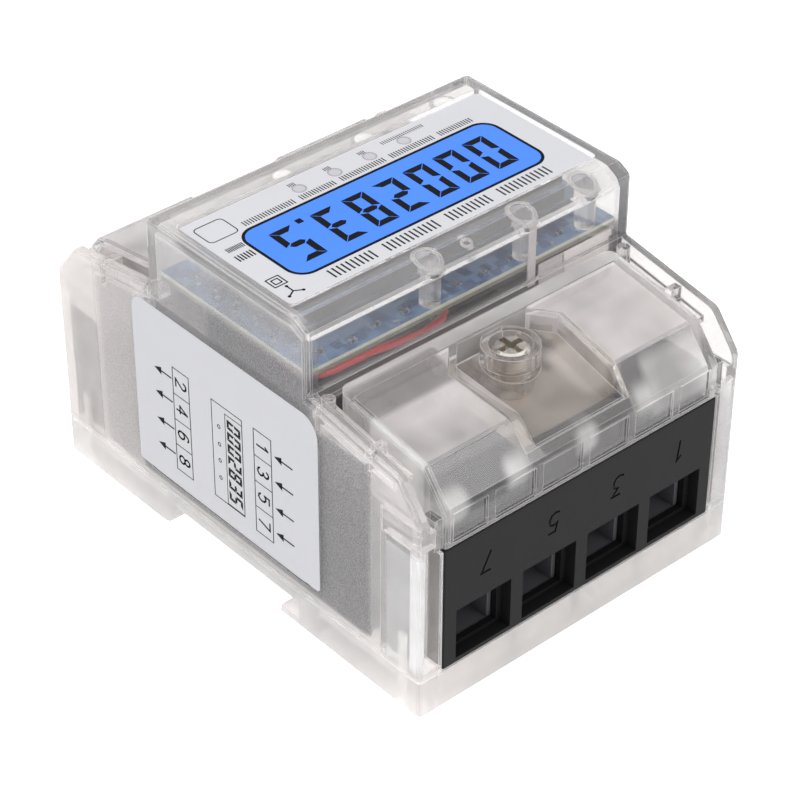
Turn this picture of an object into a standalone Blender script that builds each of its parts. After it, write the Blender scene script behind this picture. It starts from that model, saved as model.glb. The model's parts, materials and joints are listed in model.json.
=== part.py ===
"""Three-phase energy meter in a clear case, four poles wide, for a 35 mm DIN rail.

The meter lies on its back: +Z points out of the display, X runs across the poles and Y runs along
the rail slot's opening direction, from the terminals with odd numbers (-Y) to the even ones (+Y).
The origin is the middle of the underside. Sizes below are in millimetres; meshes are in metres.
"""

import math

import bmesh
import bpy

MM = 0.001

# Case
CASE_WIDTH = 75.0
CASE_LENGTH = 100.0
CASE_HEIGHT = 66.1
WALL = 2.0
ROOF_THICKNESS = 2.6
EDGE_RADIUS = 0.9
TRAY_HEIGHT = 7.5
END_FACE_TOP = 41.3
CHAMFER_LENGTH = 5.7
CHAMFER_RISE = 7.0
SHOULDER_RISE = 3.7
RAISED_LENGTH = 43.2
TOP_BEVEL_LENGTH = 2.9
TOP_BEVEL_RISE = 1.5
RAISED_WALL_FOOT = 49.5
WALL_FOOT_LEDGE = 0.3
GAP = 0.3

# Corner pillars of the upper housing and the screws that hold the base tray to them
PILLAR_LENGTH = 10.8
PILLAR_TOP = 39.5
CASE_SCREW_INSET_X = 2.6
CASE_SCREW_INSET_Y = 5.4
CASE_SCREW_RADIUS = 1.0
CASE_SCREW_HEAD_RADIUS = 1.6
CASE_SCREW_HEAD_HEIGHT = 1.7
CASE_SCREW_LENGTH = 14.0
CASE_SCREW_SINK = 0.6
CASE_SCREW_CLEARANCE = 0.2
END_POCKET_WIDTH = 3.3
END_POCKET_DEPTH = 3.0
END_POCKET_BOTTOM = 9.5
END_POCKET_TOP = 36.0

# Channel between the case's side walls and the terminal covers
CHANNEL_RIB_Y = 35.3
CHANNEL_RIB_THICKNESS = 1.6
CHANNEL_RIB_REACH = 2.5
CHANNEL_RIB_FOOT = 44.0
CHANNEL_FLOOR_DROP = 2.6
CHANNEL_FLOOR_THICKNESS = 1.4
CHANNEL_FLOOR_END = 42.6
LUG_RADIUS = 1.25
LUG_FOOT = 45.0
LUG_INSET = 3.1

# Rail slot in the base tray
RAIL_WIDTH = 35.0
RAIL_CLEARANCE = 0.75
SLOT_CENTRE_Y = -0.4
SLOT_DEPTH = 5.3
HOOK_REACH = 5.0
HOOK_THICKNESS = 1.6
NOSE_RADIUS = 3.6
RAIL_PAD_DROP = 2.4
RAIL_PAD_WIDTH = 3.0
RAIL_PAD_X = 24.0
TRAY_FLOOR = 2.0
RIB = 2.0

# Spring clip that slides in the tray
CLIP_STEM_WIDTH = 10.6
CLIP_FLANGE_WIDTH = 14.6
CLIP_STEM_HEIGHT = 1.7
CLIP_FLANGE_HEIGHT = 1.8
CLIP_REACH = 3.9
CLIP_TRAVEL = 4.0
CLIP_TAIL_INSET = 0.4
CLIP_WINDOW_WIDTH = 4.8
CLIP_WINDOW_LENGTH = 15.0
CLIP_WINDOW_START = 6.5
CLIP_PULL_WIDTH = 5.2
CLIP_PULL_LENGTH = 4.8
CLIP_PULL_INSET = 2.6
SPRING_TAB_THICKNESS = 2.0
SPRING_LENGTH = 10.0
SPRING_TURNS = 6
SPRING_COIL_RADIUS = 1.25
SPRING_WIRE_RADIUS = 0.25

# Poles
POLE_COUNT = 4
POLE_PITCH = 15.35

# Terminal blocks
BLOCK_WIDTH = 64.4
BLOCK_DEPTH = 14.7
BLOCK_TOP = 33.9
TOWER_WIDTH = 59.6
TOWER_TOP = 41.2
TERMINAL_INSET = 7.7
ENTRY_WIDTH = 12.6
ENTRY_HEIGHT = 10.6
ENTRY_SILL = 1.1
ENTRY_DEPTH = 2.4
TUNNEL_WIDTH = 10.4
TUNNEL_HEIGHT = 9.2
WELL_WIDTH = 7.4
WELL_WALL = 1.2
LEDGE_THICKNESS = 2.5
NUMBER_HEIGHT = 4.3
NUMBER_Z = 26.5
NUMBER_OFFSET = 0.6
NUMBER_DEPTH = 0.3
NUMBER_WIDTH = 0.6
NUMBER_STROKE = 0.42
NUMBER_SLANT = 0.15

# Centre lines of the moulded digits in a box 0.6 wide and 1 high; even and odd lines are cut in turn
NUMBER_STROKES = {
    1: [[(0.15, 0.80), (0.38, 1.0), (0.38, 0.0)]],
    2: [[(0.05, 0.80), (0.15, 0.95), (0.32, 1.0), (0.50, 0.93), (0.56, 0.76), (0.48, 0.55),
         (0.05, 0.03), (0.60, 0.03)]],
    3: [[(0.08, 0.97), (0.55, 0.97), (0.28, 0.61), (0.45, 0.57), (0.57, 0.42), (0.57, 0.20),
         (0.45, 0.05), (0.25, 0.0), (0.05, 0.10)]],
    4: [[(0.38, 1.0), (0.05, 0.30), (0.60, 0.30)], [(0.44, 0.55), (0.44, 0.0)]],
    5: [[(0.52, 0.97), (0.14, 0.97), (0.10, 0.55), (0.30, 0.62), (0.50, 0.54), (0.58, 0.34),
         (0.50, 0.10), (0.28, 0.0), (0.05, 0.08)]],
    6: [[(0.50, 0.98), (0.30, 0.87), (0.12, 0.62), (0.06, 0.32), (0.14, 0.08), (0.32, 0.0),
         (0.50, 0.08), (0.58, 0.28), (0.50, 0.47), (0.34, 0.53), (0.22, 0.47)]],
    7: [[(0.05, 0.97), (0.55, 0.97), (0.20, 0.0)]],
    8: [[(0.22, 0.59), (0.10, 0.70), (0.10, 0.87), (0.22, 0.98), (0.42, 0.98), (0.54, 0.87),
         (0.54, 0.70), (0.42, 0.59)],
        [(0.20, 0.45), (0.05, 0.33), (0.05, 0.13), (0.20, 0.0), (0.44, 0.0), (0.59, 0.13),
         (0.59, 0.33), (0.44, 0.45)]],
}

# Rising cage clamps and their screws
CAGE_WIDTH = 10.6
CAGE_DEPTH = 7.6
CAGE_HEIGHT = 16.5
CAGE_SIDE = 0.9
CAGE_BOTTOM_BAR = 1.6
CAGE_TOP_BAR = 2.0
CAGE_TRAVEL = 6.0
SCREW_RADIUS = 2.4
SCREW_CLEARANCE = 0.25
SCREW_HEAD_RADIUS = 3.3
SCREW_HEAD_HEIGHT = 3.0
SCREW_SLOT_WIDTH = 1.2
SCREW_SLOT_DEPTH = 1.5

# Current paths
BUSBAR_WIDTH = 8.0
BUSBAR_THICKNESS = 1.6
BUSBAR_UNDERSIDE = 19.6
TRANSFORMER_WIDTH = 14.4
TRANSFORMER_DEPTH = 14.0
TRANSFORMER_HEIGHT = 22.2
TRANSFORMER_BORE_RADIUS = 4.7

# Inner carrier
CARRIER_LENGTH = 70.0
CARRIER_STEP = 36.0
CARRIER_TOP = 49.2
CARRIER_WINDOW_WIDTH = 60.0
CARRIER_WINDOW_LENGTH = 32.0
BOARD_POST_RADIUS = 2.0
BOARD_POST_X = 32.6
BOARD_POSTS_Y = (-4.0, 16.5)

# Terminal covers
COVER_WIDTH = 64.2
COVER_WALL = 1.8
COVER_REAR_WALL = 2.4
COVER_REAR_GAP = 0.8
COVER_CORNER_RADIUS = 3.0
COVER_EDGE_RADIUS = 0.6
COVER_SKIRT_STEP_Y = 37.0
COVER_FLANGE_WIDTH = 67.8
COVER_FLANGE_SETBACK = 0.7
COVER_FLANGE_LENGTH = 3.0
COVER_FLANGE_TOP = 40.6
COVER_TRAVEL = 40.0
PANE_COUNT = 6
PANE_PITCH = 10.9
PANE_WIDTH = 9.2
PANE_DEPTH = 0.5
PANE_MARGIN = 0.6

# Sealing recess, collar and screw in each terminal cover
RECESS_REAR_Y = 26.0
RECESS_REAR_WIDTH = 16.0
RECESS_WIDTH = 23.8
RECESS_CORNER_LENGTH = 4.0
RECESS_MOUTH_WIDTH = 20.4
RECESS_DEPTH = 4.2
RECESS_WALL = 1.6
SEAL_Y = 30.8
COLLAR_RADIUS = 5.3
COLLAR_BORE_RADIUS = 3.9
SEAL_HEAD_RADIUS = 3.4
SEAL_HEAD_HEIGHT = 3.1
SEAL_SHANK_RADIUS = 1.6
SEAL_SHANK_LENGTH = 9.2
SEAL_CLEARANCE = 0.3
INSERT_RADIUS = 2.5
INSERT_FLANGE_RADIUS = 3.6
INSERT_FLANGE_HEIGHT = 1.2

# Display
PLATE_WIDTH = 69.6
PLATE_LENGTH = 30.6
PLATE_CENTRE_Y = 0.5
PLATE_THICKNESS = 0.5
PLATE_SINK = 0.7
PLATE_CORNER_RADIUS = 1.0
WINDOW_WIDTH = 57.8
WINDOW_LENGTH = 17.2
WINDOW_CENTRE_X = 0.4
WINDOW_CENTRE_Y = -0.75
WINDOW_CORNER_RADIUS = 3.4
GLASS_MARGIN = 1.0
GLASS_THICKNESS = 1.8
BEZEL_WALL = 1.0
BACKLIGHT_THICKNESS = 4.0
LED_COUNT = 4
LED_PITCH = 8.1
LED_FIRST_X = -10.8
LED_Y = 12.1
LED_RADIUS = 1.4
LED_TOP_GAP = 0.4

# Circuit board
BOARD_THICKNESS = 1.6
BOARD_UNDERSIDE = 54.2
BOARD_EDGE_GAP = 0.5
BOSS_RADIUS = 1.9
PIN_RADIUS = 0.8
PIN_CLEARANCE = 0.2
PIN_LENGTH = 3.0
BOSS_Y = 17.6
REAR_BOSSES_X = (-9.9, 8.9, 28.0)
FRONT_BOSSES_X = (-7.8, 14.0, 28.9)
CAPACITOR_RADIUS = 4.0
CAPACITOR_LENGTH = 9.5
CAPACITORS_X = (-24.0, -14.5)
CAPACITORS_Y = 6.0
CHIP_SIDE = 10.0
CHIP_HEIGHT = 1.6
CHIP_X = 8.0

# Side label
LABEL_FRONT_Y = -24.0
LABEL_REAR_Y = 26.5
LABEL_BOTTOM = 11.0
LABEL_TOP = 46.3
LABEL_CORNER_RADIUS = 4.5
LABEL_THICKNESS = 0.3
LABEL_SINK = 0.05

# Voltage lead under the board, as a hand-laid route (x, y, z)
LEAD_RADIUS = 0.8
LEAD_ROUTE = (
    (-29.0, -8.0, 52.6),
    (-32.4, -9.8, 52.7),
    (-34.0, -13.0, 52.9),
    (-33.8, -16.6, 53.0),
    (-31.2, -18.3, 53.0),
    (-27.0, -18.5, 53.0),
    (-21.5, -18.5, 52.8),
    (-16.0, -18.4, 51.9),
    (-10.5, -18.2, 51.1),
    (-5.6, -17.5, 50.9),
    (-2.8, -15.8, 50.8),
    (-1.4, -13.8, 49.6),
    (-1.0, -13.2, 47.0),
    (-1.0, -13.0, 42.5),
)

# Values that follow from the sizes above
HALF_WIDTH = CASE_WIDTH / 2
HALF_LENGTH = CASE_LENGTH / 2
INNER_X = HALF_WIDTH - WALL
HOUSING_FOOT = TRAY_HEIGHT + GAP
RAISED_Y = RAISED_LENGTH / 2
CHAMFER_Y = HALF_LENGTH - CHAMFER_LENGTH
CHAMFER_TOP = END_FACE_TOP + CHAMFER_RISE
SHOULDER_TOP = CHAMFER_TOP + SHOULDER_RISE
SHOULDER_SLOPE = SHOULDER_RISE / (CHAMFER_Y - RAISED_Y)
TOP_UNDERSIDE = CASE_HEIGHT - ROOF_THICKNESS
SLOT_FRONT_Y = SLOT_CENTRE_Y - (RAIL_WIDTH + RAIL_CLEARANCE) / 2
SLOT_REAR_Y = SLOT_CENTRE_Y + (RAIL_WIDTH + RAIL_CLEARANCE) / 2
POLES_X = [POLE_PITCH * ((POLE_COUNT - 1) / 2 - i) for i in range(POLE_COUNT)]
BLOCK_REAR_Y = HALF_LENGTH - BLOCK_DEPTH
TERMINAL_Y = HALF_LENGTH - TERMINAL_INSET
CAVITY_WIDTH = CAGE_WIDTH + 2 * GAP
CAVITY_FRONT_Y = TERMINAL_Y + CAGE_DEPTH / 2 + GAP
CAVITY_REAR_Y = TERMINAL_Y - CAGE_DEPTH / 2 - GAP
CAGE_FOOT = HOUSING_FOOT
CAVITY_TOP = CAGE_FOOT + CAGE_HEIGHT + CAGE_TRAVEL + 2 * GAP
WELL_FLOOR = CAVITY_TOP + LEDGE_THICKNESS
BUSBAR_TOP = BUSBAR_UNDERSIDE + BUSBAR_THICKNESS
BUSBAR_END_Y = TERMINAL_Y + CAGE_DEPTH / 2
CARRIER_Y = CARRIER_LENGTH / 2
BOARD_TOP = BOARD_UNDERSIDE + BOARD_THICKNESS
PLATE_FLOOR = CASE_HEIGHT - PLATE_SINK - PLATE_THICKNESS - GAP
GLASS_TOP = PLATE_FLOOR
SEAL_SEAT = SHOULDER_TOP - SHOULDER_SLOPE * (SEAL_Y - RAISED_Y) - RECESS_DEPTH + GAP
COLLAR_TOP = SEAL_SEAT + SEAL_HEAD_HEIGHT + 2 * GAP


def clear_scene():
    for found in list(bpy.data.objects):
        bpy.data.objects.remove(found, do_unlink=True)


def shoulder_z(y):
    """Height of the sloping shoulder at a distance from the middle of the case."""
    return SHOULDER_TOP - SHOULDER_SLOPE * (abs(y) - RAISED_Y)


def recess_floor_z(y):
    """Height of the sealing recess's floor, which runs parallel to the shoulder."""
    return shoulder_z(y) - RECESS_DEPTH


def material(name, color, roughness, metallic=0.0, alpha=1.0):
    """A Principled material, shared by the pieces that are made of the same stuff."""
    if name in bpy.data.materials:
        return bpy.data.materials[name]
    made = bpy.data.materials.new(name)
    made.use_nodes = True
    shader = made.node_tree.nodes["Principled BSDF"]
    shader.inputs["Base Color"].default_value = (*color, 1.0)
    shader.inputs["Roughness"].default_value = roughness
    shader.inputs["Metallic"].default_value = metallic
    shader.inputs["Alpha"].default_value = alpha
    made.diffuse_color = (*color, alpha)
    return made


def clear_case():
    return material("clear_case", (0.80, 0.77, 0.76), 0.25, alpha=0.4)


def frosted_cover():
    return material("frosted_cover", (0.78, 0.76, 0.76), 0.45, alpha=0.5)


def black_moulding():
    return material("black_moulding", (0.045, 0.045, 0.05), 0.55)


def plated_steel():
    return material("plated_steel", (0.62, 0.60, 0.56), 0.3, metallic=1.0)


def brass():
    return material("brass", (0.72, 0.53, 0.25), 0.35, metallic=1.0)


def copper():
    return material("copper", (0.75, 0.42, 0.28), 0.35, metallic=1.0)


def add_prism(bm, outline, axis, low, high):
    """A straight prism. The outline's two coordinates are the ones left after the axis."""
    others = [i for i in range(3) if i != axis]
    rings = []
    for level in (low, high):
        ring = []
        for a, b in outline:
            place = [0.0, 0.0, 0.0]
            place[axis] = level
            place[others[0]] = a
            place[others[1]] = b
            ring.append(bm.verts.new(place))
        rings.append(ring)
    faces = [bm.faces.new(rings[0]), bm.faces.new(rings[1])]
    count = len(outline)
    for i in range(count):
        j = (i + 1) % count
        faces.append(bm.faces.new((rings[0][i], rings[0][j], rings[1][j], rings[1][i])))
    bmesh.ops.recalc_face_normals(bm, faces=faces)


def add_box(bm, x, y, z):
    """A box between the given pairs of coordinates."""
    outline = ((x[0], y[0]), (x[1], y[0]), (x[1], y[1]), (x[0], y[1]))
    add_prism(bm, outline, 2, min(z), max(z))


def circle(centre, radius, segments=24):
    step = 2 * math.pi / segments
    angles = [step * (i + 0.5) for i in range(segments)]
    return [(centre[0] + radius * math.cos(t), centre[1] + radius * math.sin(t)) for t in angles]


def add_cylinder(bm, centre, radius, axis, low, high, segments=24):
    add_prism(bm, circle(centre, radius, segments), axis, low, high)


def arc(centre, radius, start, end, steps):
    """Points along an arc, angles in degrees."""
    out = []
    for i in range(steps + 1):
        t = math.radians(start + (end - start) * i / steps)
        out.append((centre[0] + radius * math.cos(t), centre[1] + radius * math.sin(t)))
    return out


def rounded_rectangle(centre, size, radius, steps=5):
    out = []
    for sx, sy, start in ((1, 1, 0), (-1, 1, 90), (-1, -1, 180), (1, -1, 270)):
        corner = (centre[0] + sx * (size[0] / 2 - radius), centre[1] + sy * (size[1] / 2 - radius))
        out += arc(corner, radius, start, start + 90, steps)
    return out


def offset_outline(points, distance):
    """Moves each side of a closed outline outwards by a distance, with mitred corners."""
    count = len(points)
    area = sum(
        points[i][0] * points[(i + 1) % count][1] - points[(i + 1) % count][0] * points[i][1]
        for i in range(count)
    )
    turn = math.copysign(1.0, area)
    normals = []
    for i in range(count):
        ax, ay = points[i]
        bx, by = points[(i + 1) % count]
        length = math.hypot(bx - ax, by - ay)
        normals.append((turn * (by - ay) / length, -turn * (bx - ax) / length))
    out = []
    for i in range(count):
        (nx, ny), (mx, my) = normals[i - 1], normals[i]
        share = distance / (1 + nx * mx + ny * my)
        out.append((points[i][0] + (nx + mx) * share, points[i][1] + (ny + my) * share))
    return out


def mesh_object(name, bm, stuff=None, location=(0.0, 0.0, 0.0)):
    """Turns a bmesh in millimetres into an object in metres at a location in millimetres."""
    bmesh.ops.scale(bm, vec=(MM, MM, MM), verts=bm.verts)
    mesh = bpy.data.meshes.new(name)
    bm.to_mesh(mesh)
    bm.free()
    made = bpy.data.objects.new(name, mesh)
    made.location = [MM * value for value in location]
    bpy.context.scene.collection.objects.link(made)
    if stuff:
        mesh.materials.append(stuff)
    return made


def guide(name, bm):
    """A shape that only cuts or joins another one."""
    made = mesh_object(name, bm)
    made.hide_render = True
    made.display_type = "WIRE"
    return made


def combine(target, operand, operation):
    step = target.modifiers.new(operation.title(), "BOOLEAN")
    step.operation = operation
    step.solver = "EXACT"
    step.object = operand


def cut(target, operand):
    combine(target, operand, "DIFFERENCE")


def join(target, operand):
    combine(target, operand, "UNION")


def soften(target, width, segments=2):
    step = target.modifiers.new("Soften", "BEVEL")
    step.width = width * MM
    step.segments = segments
    step.limit_method = "ANGLE"
    step.angle_limit = math.radians(30)


def smooth(target, angle=35.0):
    target.data.shade_smooth()
    target.data.set_sharp_from_angle(angle=math.radians(angle))


def turn_to_end(objects, end):
    """Pieces are drawn at the front end (-Y); the rear ones are the same, turned half round."""
    if end == "rear":
        for each in objects:
            each.rotation_euler.z = math.pi


def side_profile(foot):
    """The case's outer section across X, from a given foot height, as (y, z).

    Only the front edge of the raised box has a bevel.
    """
    rear = [
        (HALF_LENGTH, foot),
        (HALF_LENGTH, END_FACE_TOP),
        (CHAMFER_Y, CHAMFER_TOP),
        (RAISED_Y, SHOULDER_TOP),
        (RAISED_Y, CASE_HEIGHT),
    ]
    front = [(-y, z) for y, z in reversed(rear[:-1])]
    bevel = [(TOP_BEVEL_LENGTH - RAISED_Y, CASE_HEIGHT), (-RAISED_Y, CASE_HEIGHT - TOP_BEVEL_RISE)]
    return rear + bevel + front


def make_base_tray():
    """Floor of the case, with the rail slot, the fixed hook and the channel of the spring clip."""
    bm = bmesh.new()
    outline = rounded_rectangle((0, 0), (CASE_WIDTH, CASE_LENGTH), EDGE_RADIUS, 3)
    add_prism(bm, outline, 2, 0.0, TRAY_HEIGHT)
    tray = mesh_object("base_tray", bm, clear_case())

    bm = bmesh.new()
    hook_tip = SLOT_FRONT_Y + HOOK_REACH
    nose = arc((SLOT_REAR_Y + NOSE_RADIUS, NOSE_RADIUS), NOSE_RADIUS, 270, 180, 6)
    section = [
        (hook_tip + HOOK_THICKNESS / 2, -1.0),
        (hook_tip, HOOK_THICKNESS / 2),
        (hook_tip, HOOK_THICKNESS),
        (SLOT_FRONT_Y, HOOK_THICKNESS),
        (SLOT_FRONT_Y, SLOT_DEPTH),
        (SLOT_REAR_Y, SLOT_DEPTH),
        *reversed(nose),
        (SLOT_REAR_Y + NOSE_RADIUS, -1.0),
    ]
    add_prism(bm, section, 0, -HALF_WIDTH - 1, HALF_WIDTH + 1)
    cut(tray, guide("rail_slot", bm))

    bm = bmesh.new()
    pad_foot = SLOT_DEPTH - RAIL_PAD_DROP
    for x in (-RAIL_PAD_X, RAIL_PAD_X):
        across = (x - RAIL_PAD_WIDTH / 2, x + RAIL_PAD_WIDTH / 2)
        add_box(bm, across, (SLOT_FRONT_Y - RIB, hook_tip - GAP), (pad_foot, SLOT_DEPTH + 1))
        add_box(bm, across, (SLOT_REAR_Y - CLIP_REACH, SLOT_REAR_Y + RIB), (pad_foot, SLOT_DEPTH + 1))
    join(tray, guide("rail_pads", bm))

    bm = bmesh.new()
    pocket_half = POLE_PITCH / 2 - RIB / 2
    channel_roof = clip_roof()
    for x in POLES_X:
        over_clip = abs(x) - pocket_half < CLIP_FLANGE_WIDTH / 2 + GAP + RIB
        rear_floor = channel_roof + RIB * 0.75 if over_clip else TRAY_FLOOR
        across = (x - pocket_half, x + pocket_half)
        front_y = (-HALF_LENGTH + WALL, SLOT_FRONT_Y - RIB)
        rear_y = (SLOT_REAR_Y + NOSE_RADIUS + RIB, HALF_LENGTH - WALL)
        add_box(bm, across, front_y, (TRAY_FLOOR, TRAY_HEIGHT + 1))
        add_box(bm, across, rear_y, (rear_floor, TRAY_HEIGHT + 1))
    cut(tray, guide("tray_pockets", bm))

    bm = bmesh.new()
    stem = CLIP_STEM_WIDTH / 2 + GAP
    flange = CLIP_FLANGE_WIDTH / 2 + GAP
    lip_top = GAP + CLIP_STEM_HEIGHT - GAP
    t_slot = [
        (-stem, -1.0),
        (stem, -1.0),
        (stem, lip_top),
        (flange, lip_top),
        (flange, channel_roof),
        (-flange, channel_roof),
        (-flange, lip_top),
        (-stem, lip_top),
    ]
    add_prism(bm, t_slot, 1, SLOT_REAR_Y - 1, HALF_LENGTH + 1)
    cut(tray, guide("clip_channel", bm))

    bm = bmesh.new()
    tab = (spring_tab_y(), spring_tab_y() + SPRING_TAB_THICKNESS)
    half = CLIP_WINDOW_WIDTH / 2 - 2 * GAP
    add_box(bm, (-half, half), tab, (2 * GAP, channel_roof + RIB / 2))
    join(tray, guide("spring_tab", bm))

    bm = bmesh.new()
    for x, y in case_screw_places():
        head = CASE_SCREW_HEAD_RADIUS + CASE_SCREW_CLEARANCE
        add_cylinder(bm, (x, y), head, 2, -1, CASE_SCREW_SINK + CASE_SCREW_HEAD_HEIGHT, 20)
    cut(tray, guide("screw_counterbores", bm))
    bm = bmesh.new()
    for x, y in case_screw_places():
        add_cylinder(bm, (x, y), CASE_SCREW_RADIUS + CASE_SCREW_CLEARANCE, 2, 1, TRAY_HEIGHT + 1, 16)
    cut(tray, guide("screw_holes", bm))


def clip_roof():
    """Height of the clip channel's roof: the clip's own height with a gap above and below."""
    return CLIP_STEM_HEIGHT + CLIP_FLANGE_HEIGHT + 2 * GAP


def clip_front_y():
    return SLOT_REAR_Y - CLIP_REACH


def clip_window():
    """The clip's spring window along Y."""
    start = SLOT_REAR_Y + CLIP_WINDOW_START
    return start, start + CLIP_WINDOW_LENGTH


def spring_tab_y():
    return clip_window()[0] + SPRING_LENGTH + 2 * GAP


def case_screw_places():
    """Axes of the four case screws."""
    x = HALF_WIDTH - CASE_SCREW_INSET_X
    y = HALF_LENGTH - CASE_SCREW_INSET_Y
    return [(sx * x, sy * y) for sy in (-1, 1) for sx in (-1, 1)]


def make_upper_housing():
    """Clear shell: two side walls, four corner pillars and the raised box over the display."""
    bm = bmesh.new()
    add_prism(bm, side_profile(HOUSING_FOOT - 4), 0, -HALF_WIDTH, HALF_WIDTH)
    shell = mesh_object("upper_housing", bm, clear_case())
    soften(shell, EDGE_RADIUS)

    bm = bmesh.new()
    pillar_y = HALF_LENGTH - PILLAR_LENGTH
    chamber_y = RAISED_Y + WALL_FOOT_LEDGE
    inner_y = RAISED_Y - WALL
    rear = [
        (pillar_y, -1.0),
        (pillar_y, TOP_UNDERSIDE),
        (chamber_y, TOP_UNDERSIDE),
        (chamber_y, RAISED_WALL_FOOT),
        (inner_y, RAISED_WALL_FOOT),
        (inner_y, TOP_UNDERSIDE),
    ]
    bevel = [(TOP_BEVEL_LENGTH - inner_y, TOP_UNDERSIDE), (-inner_y, TOP_UNDERSIDE - TOP_BEVEL_RISE)]
    inside = rear + bevel + [(-y, z) for y, z in reversed(rear[:-1])]
    add_prism(bm, inside, 0, -INNER_X, INNER_X)
    cut(shell, guide("housing_inside", bm))

    bm = bmesh.new()
    block_x = BLOCK_WIDTH / 2 + GAP
    flange_x = COVER_FLANGE_WIDTH / 2 + GAP
    half = [
        (block_x, -1.0),
        (block_x, BLOCK_TOP),
        (flange_x, BLOCK_TOP),
        (flange_x, PILLAR_TOP),
        (INNER_X, PILLAR_TOP),
        (INNER_X, CASE_HEIGHT),
    ]
    mouth = half + [(-x, z) for x, z in reversed(half)]
    for low in (-HALF_LENGTH - 1, pillar_y - 0.2):
        add_prism(bm, mouth, 1, low, low + PILLAR_LENGTH + 1.2)
    cut(shell, guide("housing_mouths", bm))

    bm = bmesh.new()
    add_box(bm, (-CASE_WIDTH, CASE_WIDTH), (-CASE_LENGTH, CASE_LENGTH), (-2.0, HOUSING_FOOT))
    cut(shell, guide("parting_plane", bm))

    bm = bmesh.new()
    for x, y in boss_places():
        add_cylinder(bm, (x, y), BOSS_RADIUS, 2, BOARD_TOP + GAP, TOP_UNDERSIDE + WALL / 4, 20)
    join(shell, guide("board_bosses", bm))
    bm = bmesh.new()
    for x, y in boss_places():
        add_cylinder(bm, (x, y), PIN_RADIUS, 2, BOARD_TOP + GAP - PIN_LENGTH, TOP_UNDERSIDE, 12)
    join(shell, guide("board_pins", bm))

    bm = bmesh.new()
    plate = (PLATE_WIDTH + 2 * GAP, PLATE_LENGTH + 2 * GAP)
    outline = rounded_rectangle((0, PLATE_CENTRE_Y), plate, PLATE_CORNER_RADIUS, 3)
    add_prism(bm, outline, 2, PLATE_FLOOR, CASE_HEIGHT + 1)
    cut(shell, guide("plate_recess", bm))
    bm = bmesh.new()
    glass = (glass_size()[0] + 2 * GAP, glass_size()[1] + 2 * GAP)
    outline = rounded_rectangle((WINDOW_CENTRE_X, WINDOW_CENTRE_Y), glass, PLATE_CORNER_RADIUS, 3)
    add_prism(bm, outline, 2, TOP_UNDERSIDE - WALL, CASE_HEIGHT + 1)
    cut(shell, guide("display_window", bm))

    bm = bmesh.new()
    size = (LABEL_REAR_Y - LABEL_FRONT_Y + 2 * GAP, LABEL_TOP - LABEL_BOTTOM + 2 * GAP)
    outline = rounded_rectangle(label_centre(), size, LABEL_CORNER_RADIUS)
    add_prism(bm, outline, 0, -HALF_WIDTH - 1, label_back_x() + GAP)
    cut(shell, guide("label_recess", bm))

    bm = bmesh.new()
    outer = HALF_WIDTH - WALL / 2
    for sx in (-1, 1):
        pocket = sorted((sx * outer, sx * (outer - END_POCKET_WIDTH)))
        for sy in (-1, 1):
            deep = sorted((sy * (HALF_LENGTH + 1), sy * (HALF_LENGTH - END_POCKET_DEPTH)))
            add_box(bm, pocket, deep, (END_POCKET_BOTTOM, END_POCKET_TOP))
    cut(shell, guide("end_pockets", bm))
    bm = bmesh.new()
    depth = CASE_SCREW_SINK + CASE_SCREW_LENGTH + 2 * GAP
    for x, y in case_screw_places():
        add_cylinder(bm, (x, y), CASE_SCREW_RADIUS + CASE_SCREW_CLEARANCE, 2, -1, depth, 16)
    cut(shell, guide("pillar_holes", bm))

    bm = bmesh.new()
    floor_y = (chamber_y + GAP, CHANNEL_FLOOR_END)
    drops = (CHANNEL_FLOOR_DROP, CHANNEL_FLOOR_DROP + CHANNEL_FLOOR_THICKNESS)
    for sx in (-1, 1):
        across = sorted((sx * (INNER_X + WALL / 2), sx * (COVER_WIDTH / 2 + 2 * GAP)))
        for sy in (-1, 1):
            strip = [(sy * y, shoulder_z(y) - drops[0]) for y in floor_y]
            strip += [(sy * y, shoulder_z(y) - drops[1]) for y in reversed(floor_y)]
            add_prism(bm, strip, 0, *across)
    join(shell, guide("channel_floors", bm))

    bm = bmesh.new()
    for sx in (-1, 1):
        reach = sorted((sx * (INNER_X + WALL / 2), sx * (INNER_X - CHANNEL_RIB_REACH)))
        for sy in (-1, 1):
            thick = sorted((sy * CHANNEL_RIB_Y, sy * (CHANNEL_RIB_Y + CHANNEL_RIB_THICKNESS)))
            top = shoulder_z(CHANNEL_RIB_Y + CHANNEL_RIB_THICKNESS) - GAP
            add_box(bm, reach, thick, (CHANNEL_RIB_FOOT, top))
    join(shell, guide("channel_ribs", bm))
    bm = bmesh.new()
    lug_y = chamber_y + LUG_RADIUS + GAP
    for sx in (-1, 1):
        for sy in (-1, 1):
            centre = (sx * (HALF_WIDTH - LUG_INSET), sy * lug_y)
            add_cylinder(bm, centre, LUG_RADIUS, 2, LUG_FOOT, shoulder_z(lug_y) - GAP, 12)
    join(shell, guide("cover_lugs", bm))


def boss_places():
    """Axes of the moulded bosses that hold the circuit board down."""
    rear = [(x, BOSS_Y) for x in REAR_BOSSES_X]
    return rear + [(x, -BOSS_Y) for x in FRONT_BOSSES_X]


def glass_size():
    return WINDOW_WIDTH + 2 * GLASS_MARGIN, WINDOW_LENGTH + 2 * GLASS_MARGIN


def label_centre():
    return (LABEL_FRONT_Y + LABEL_REAR_Y) / 2, (LABEL_BOTTOM + LABEL_TOP) / 2


def label_back_x():
    return -HALF_WIDTH + LABEL_SINK + LABEL_THICKNESS


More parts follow.
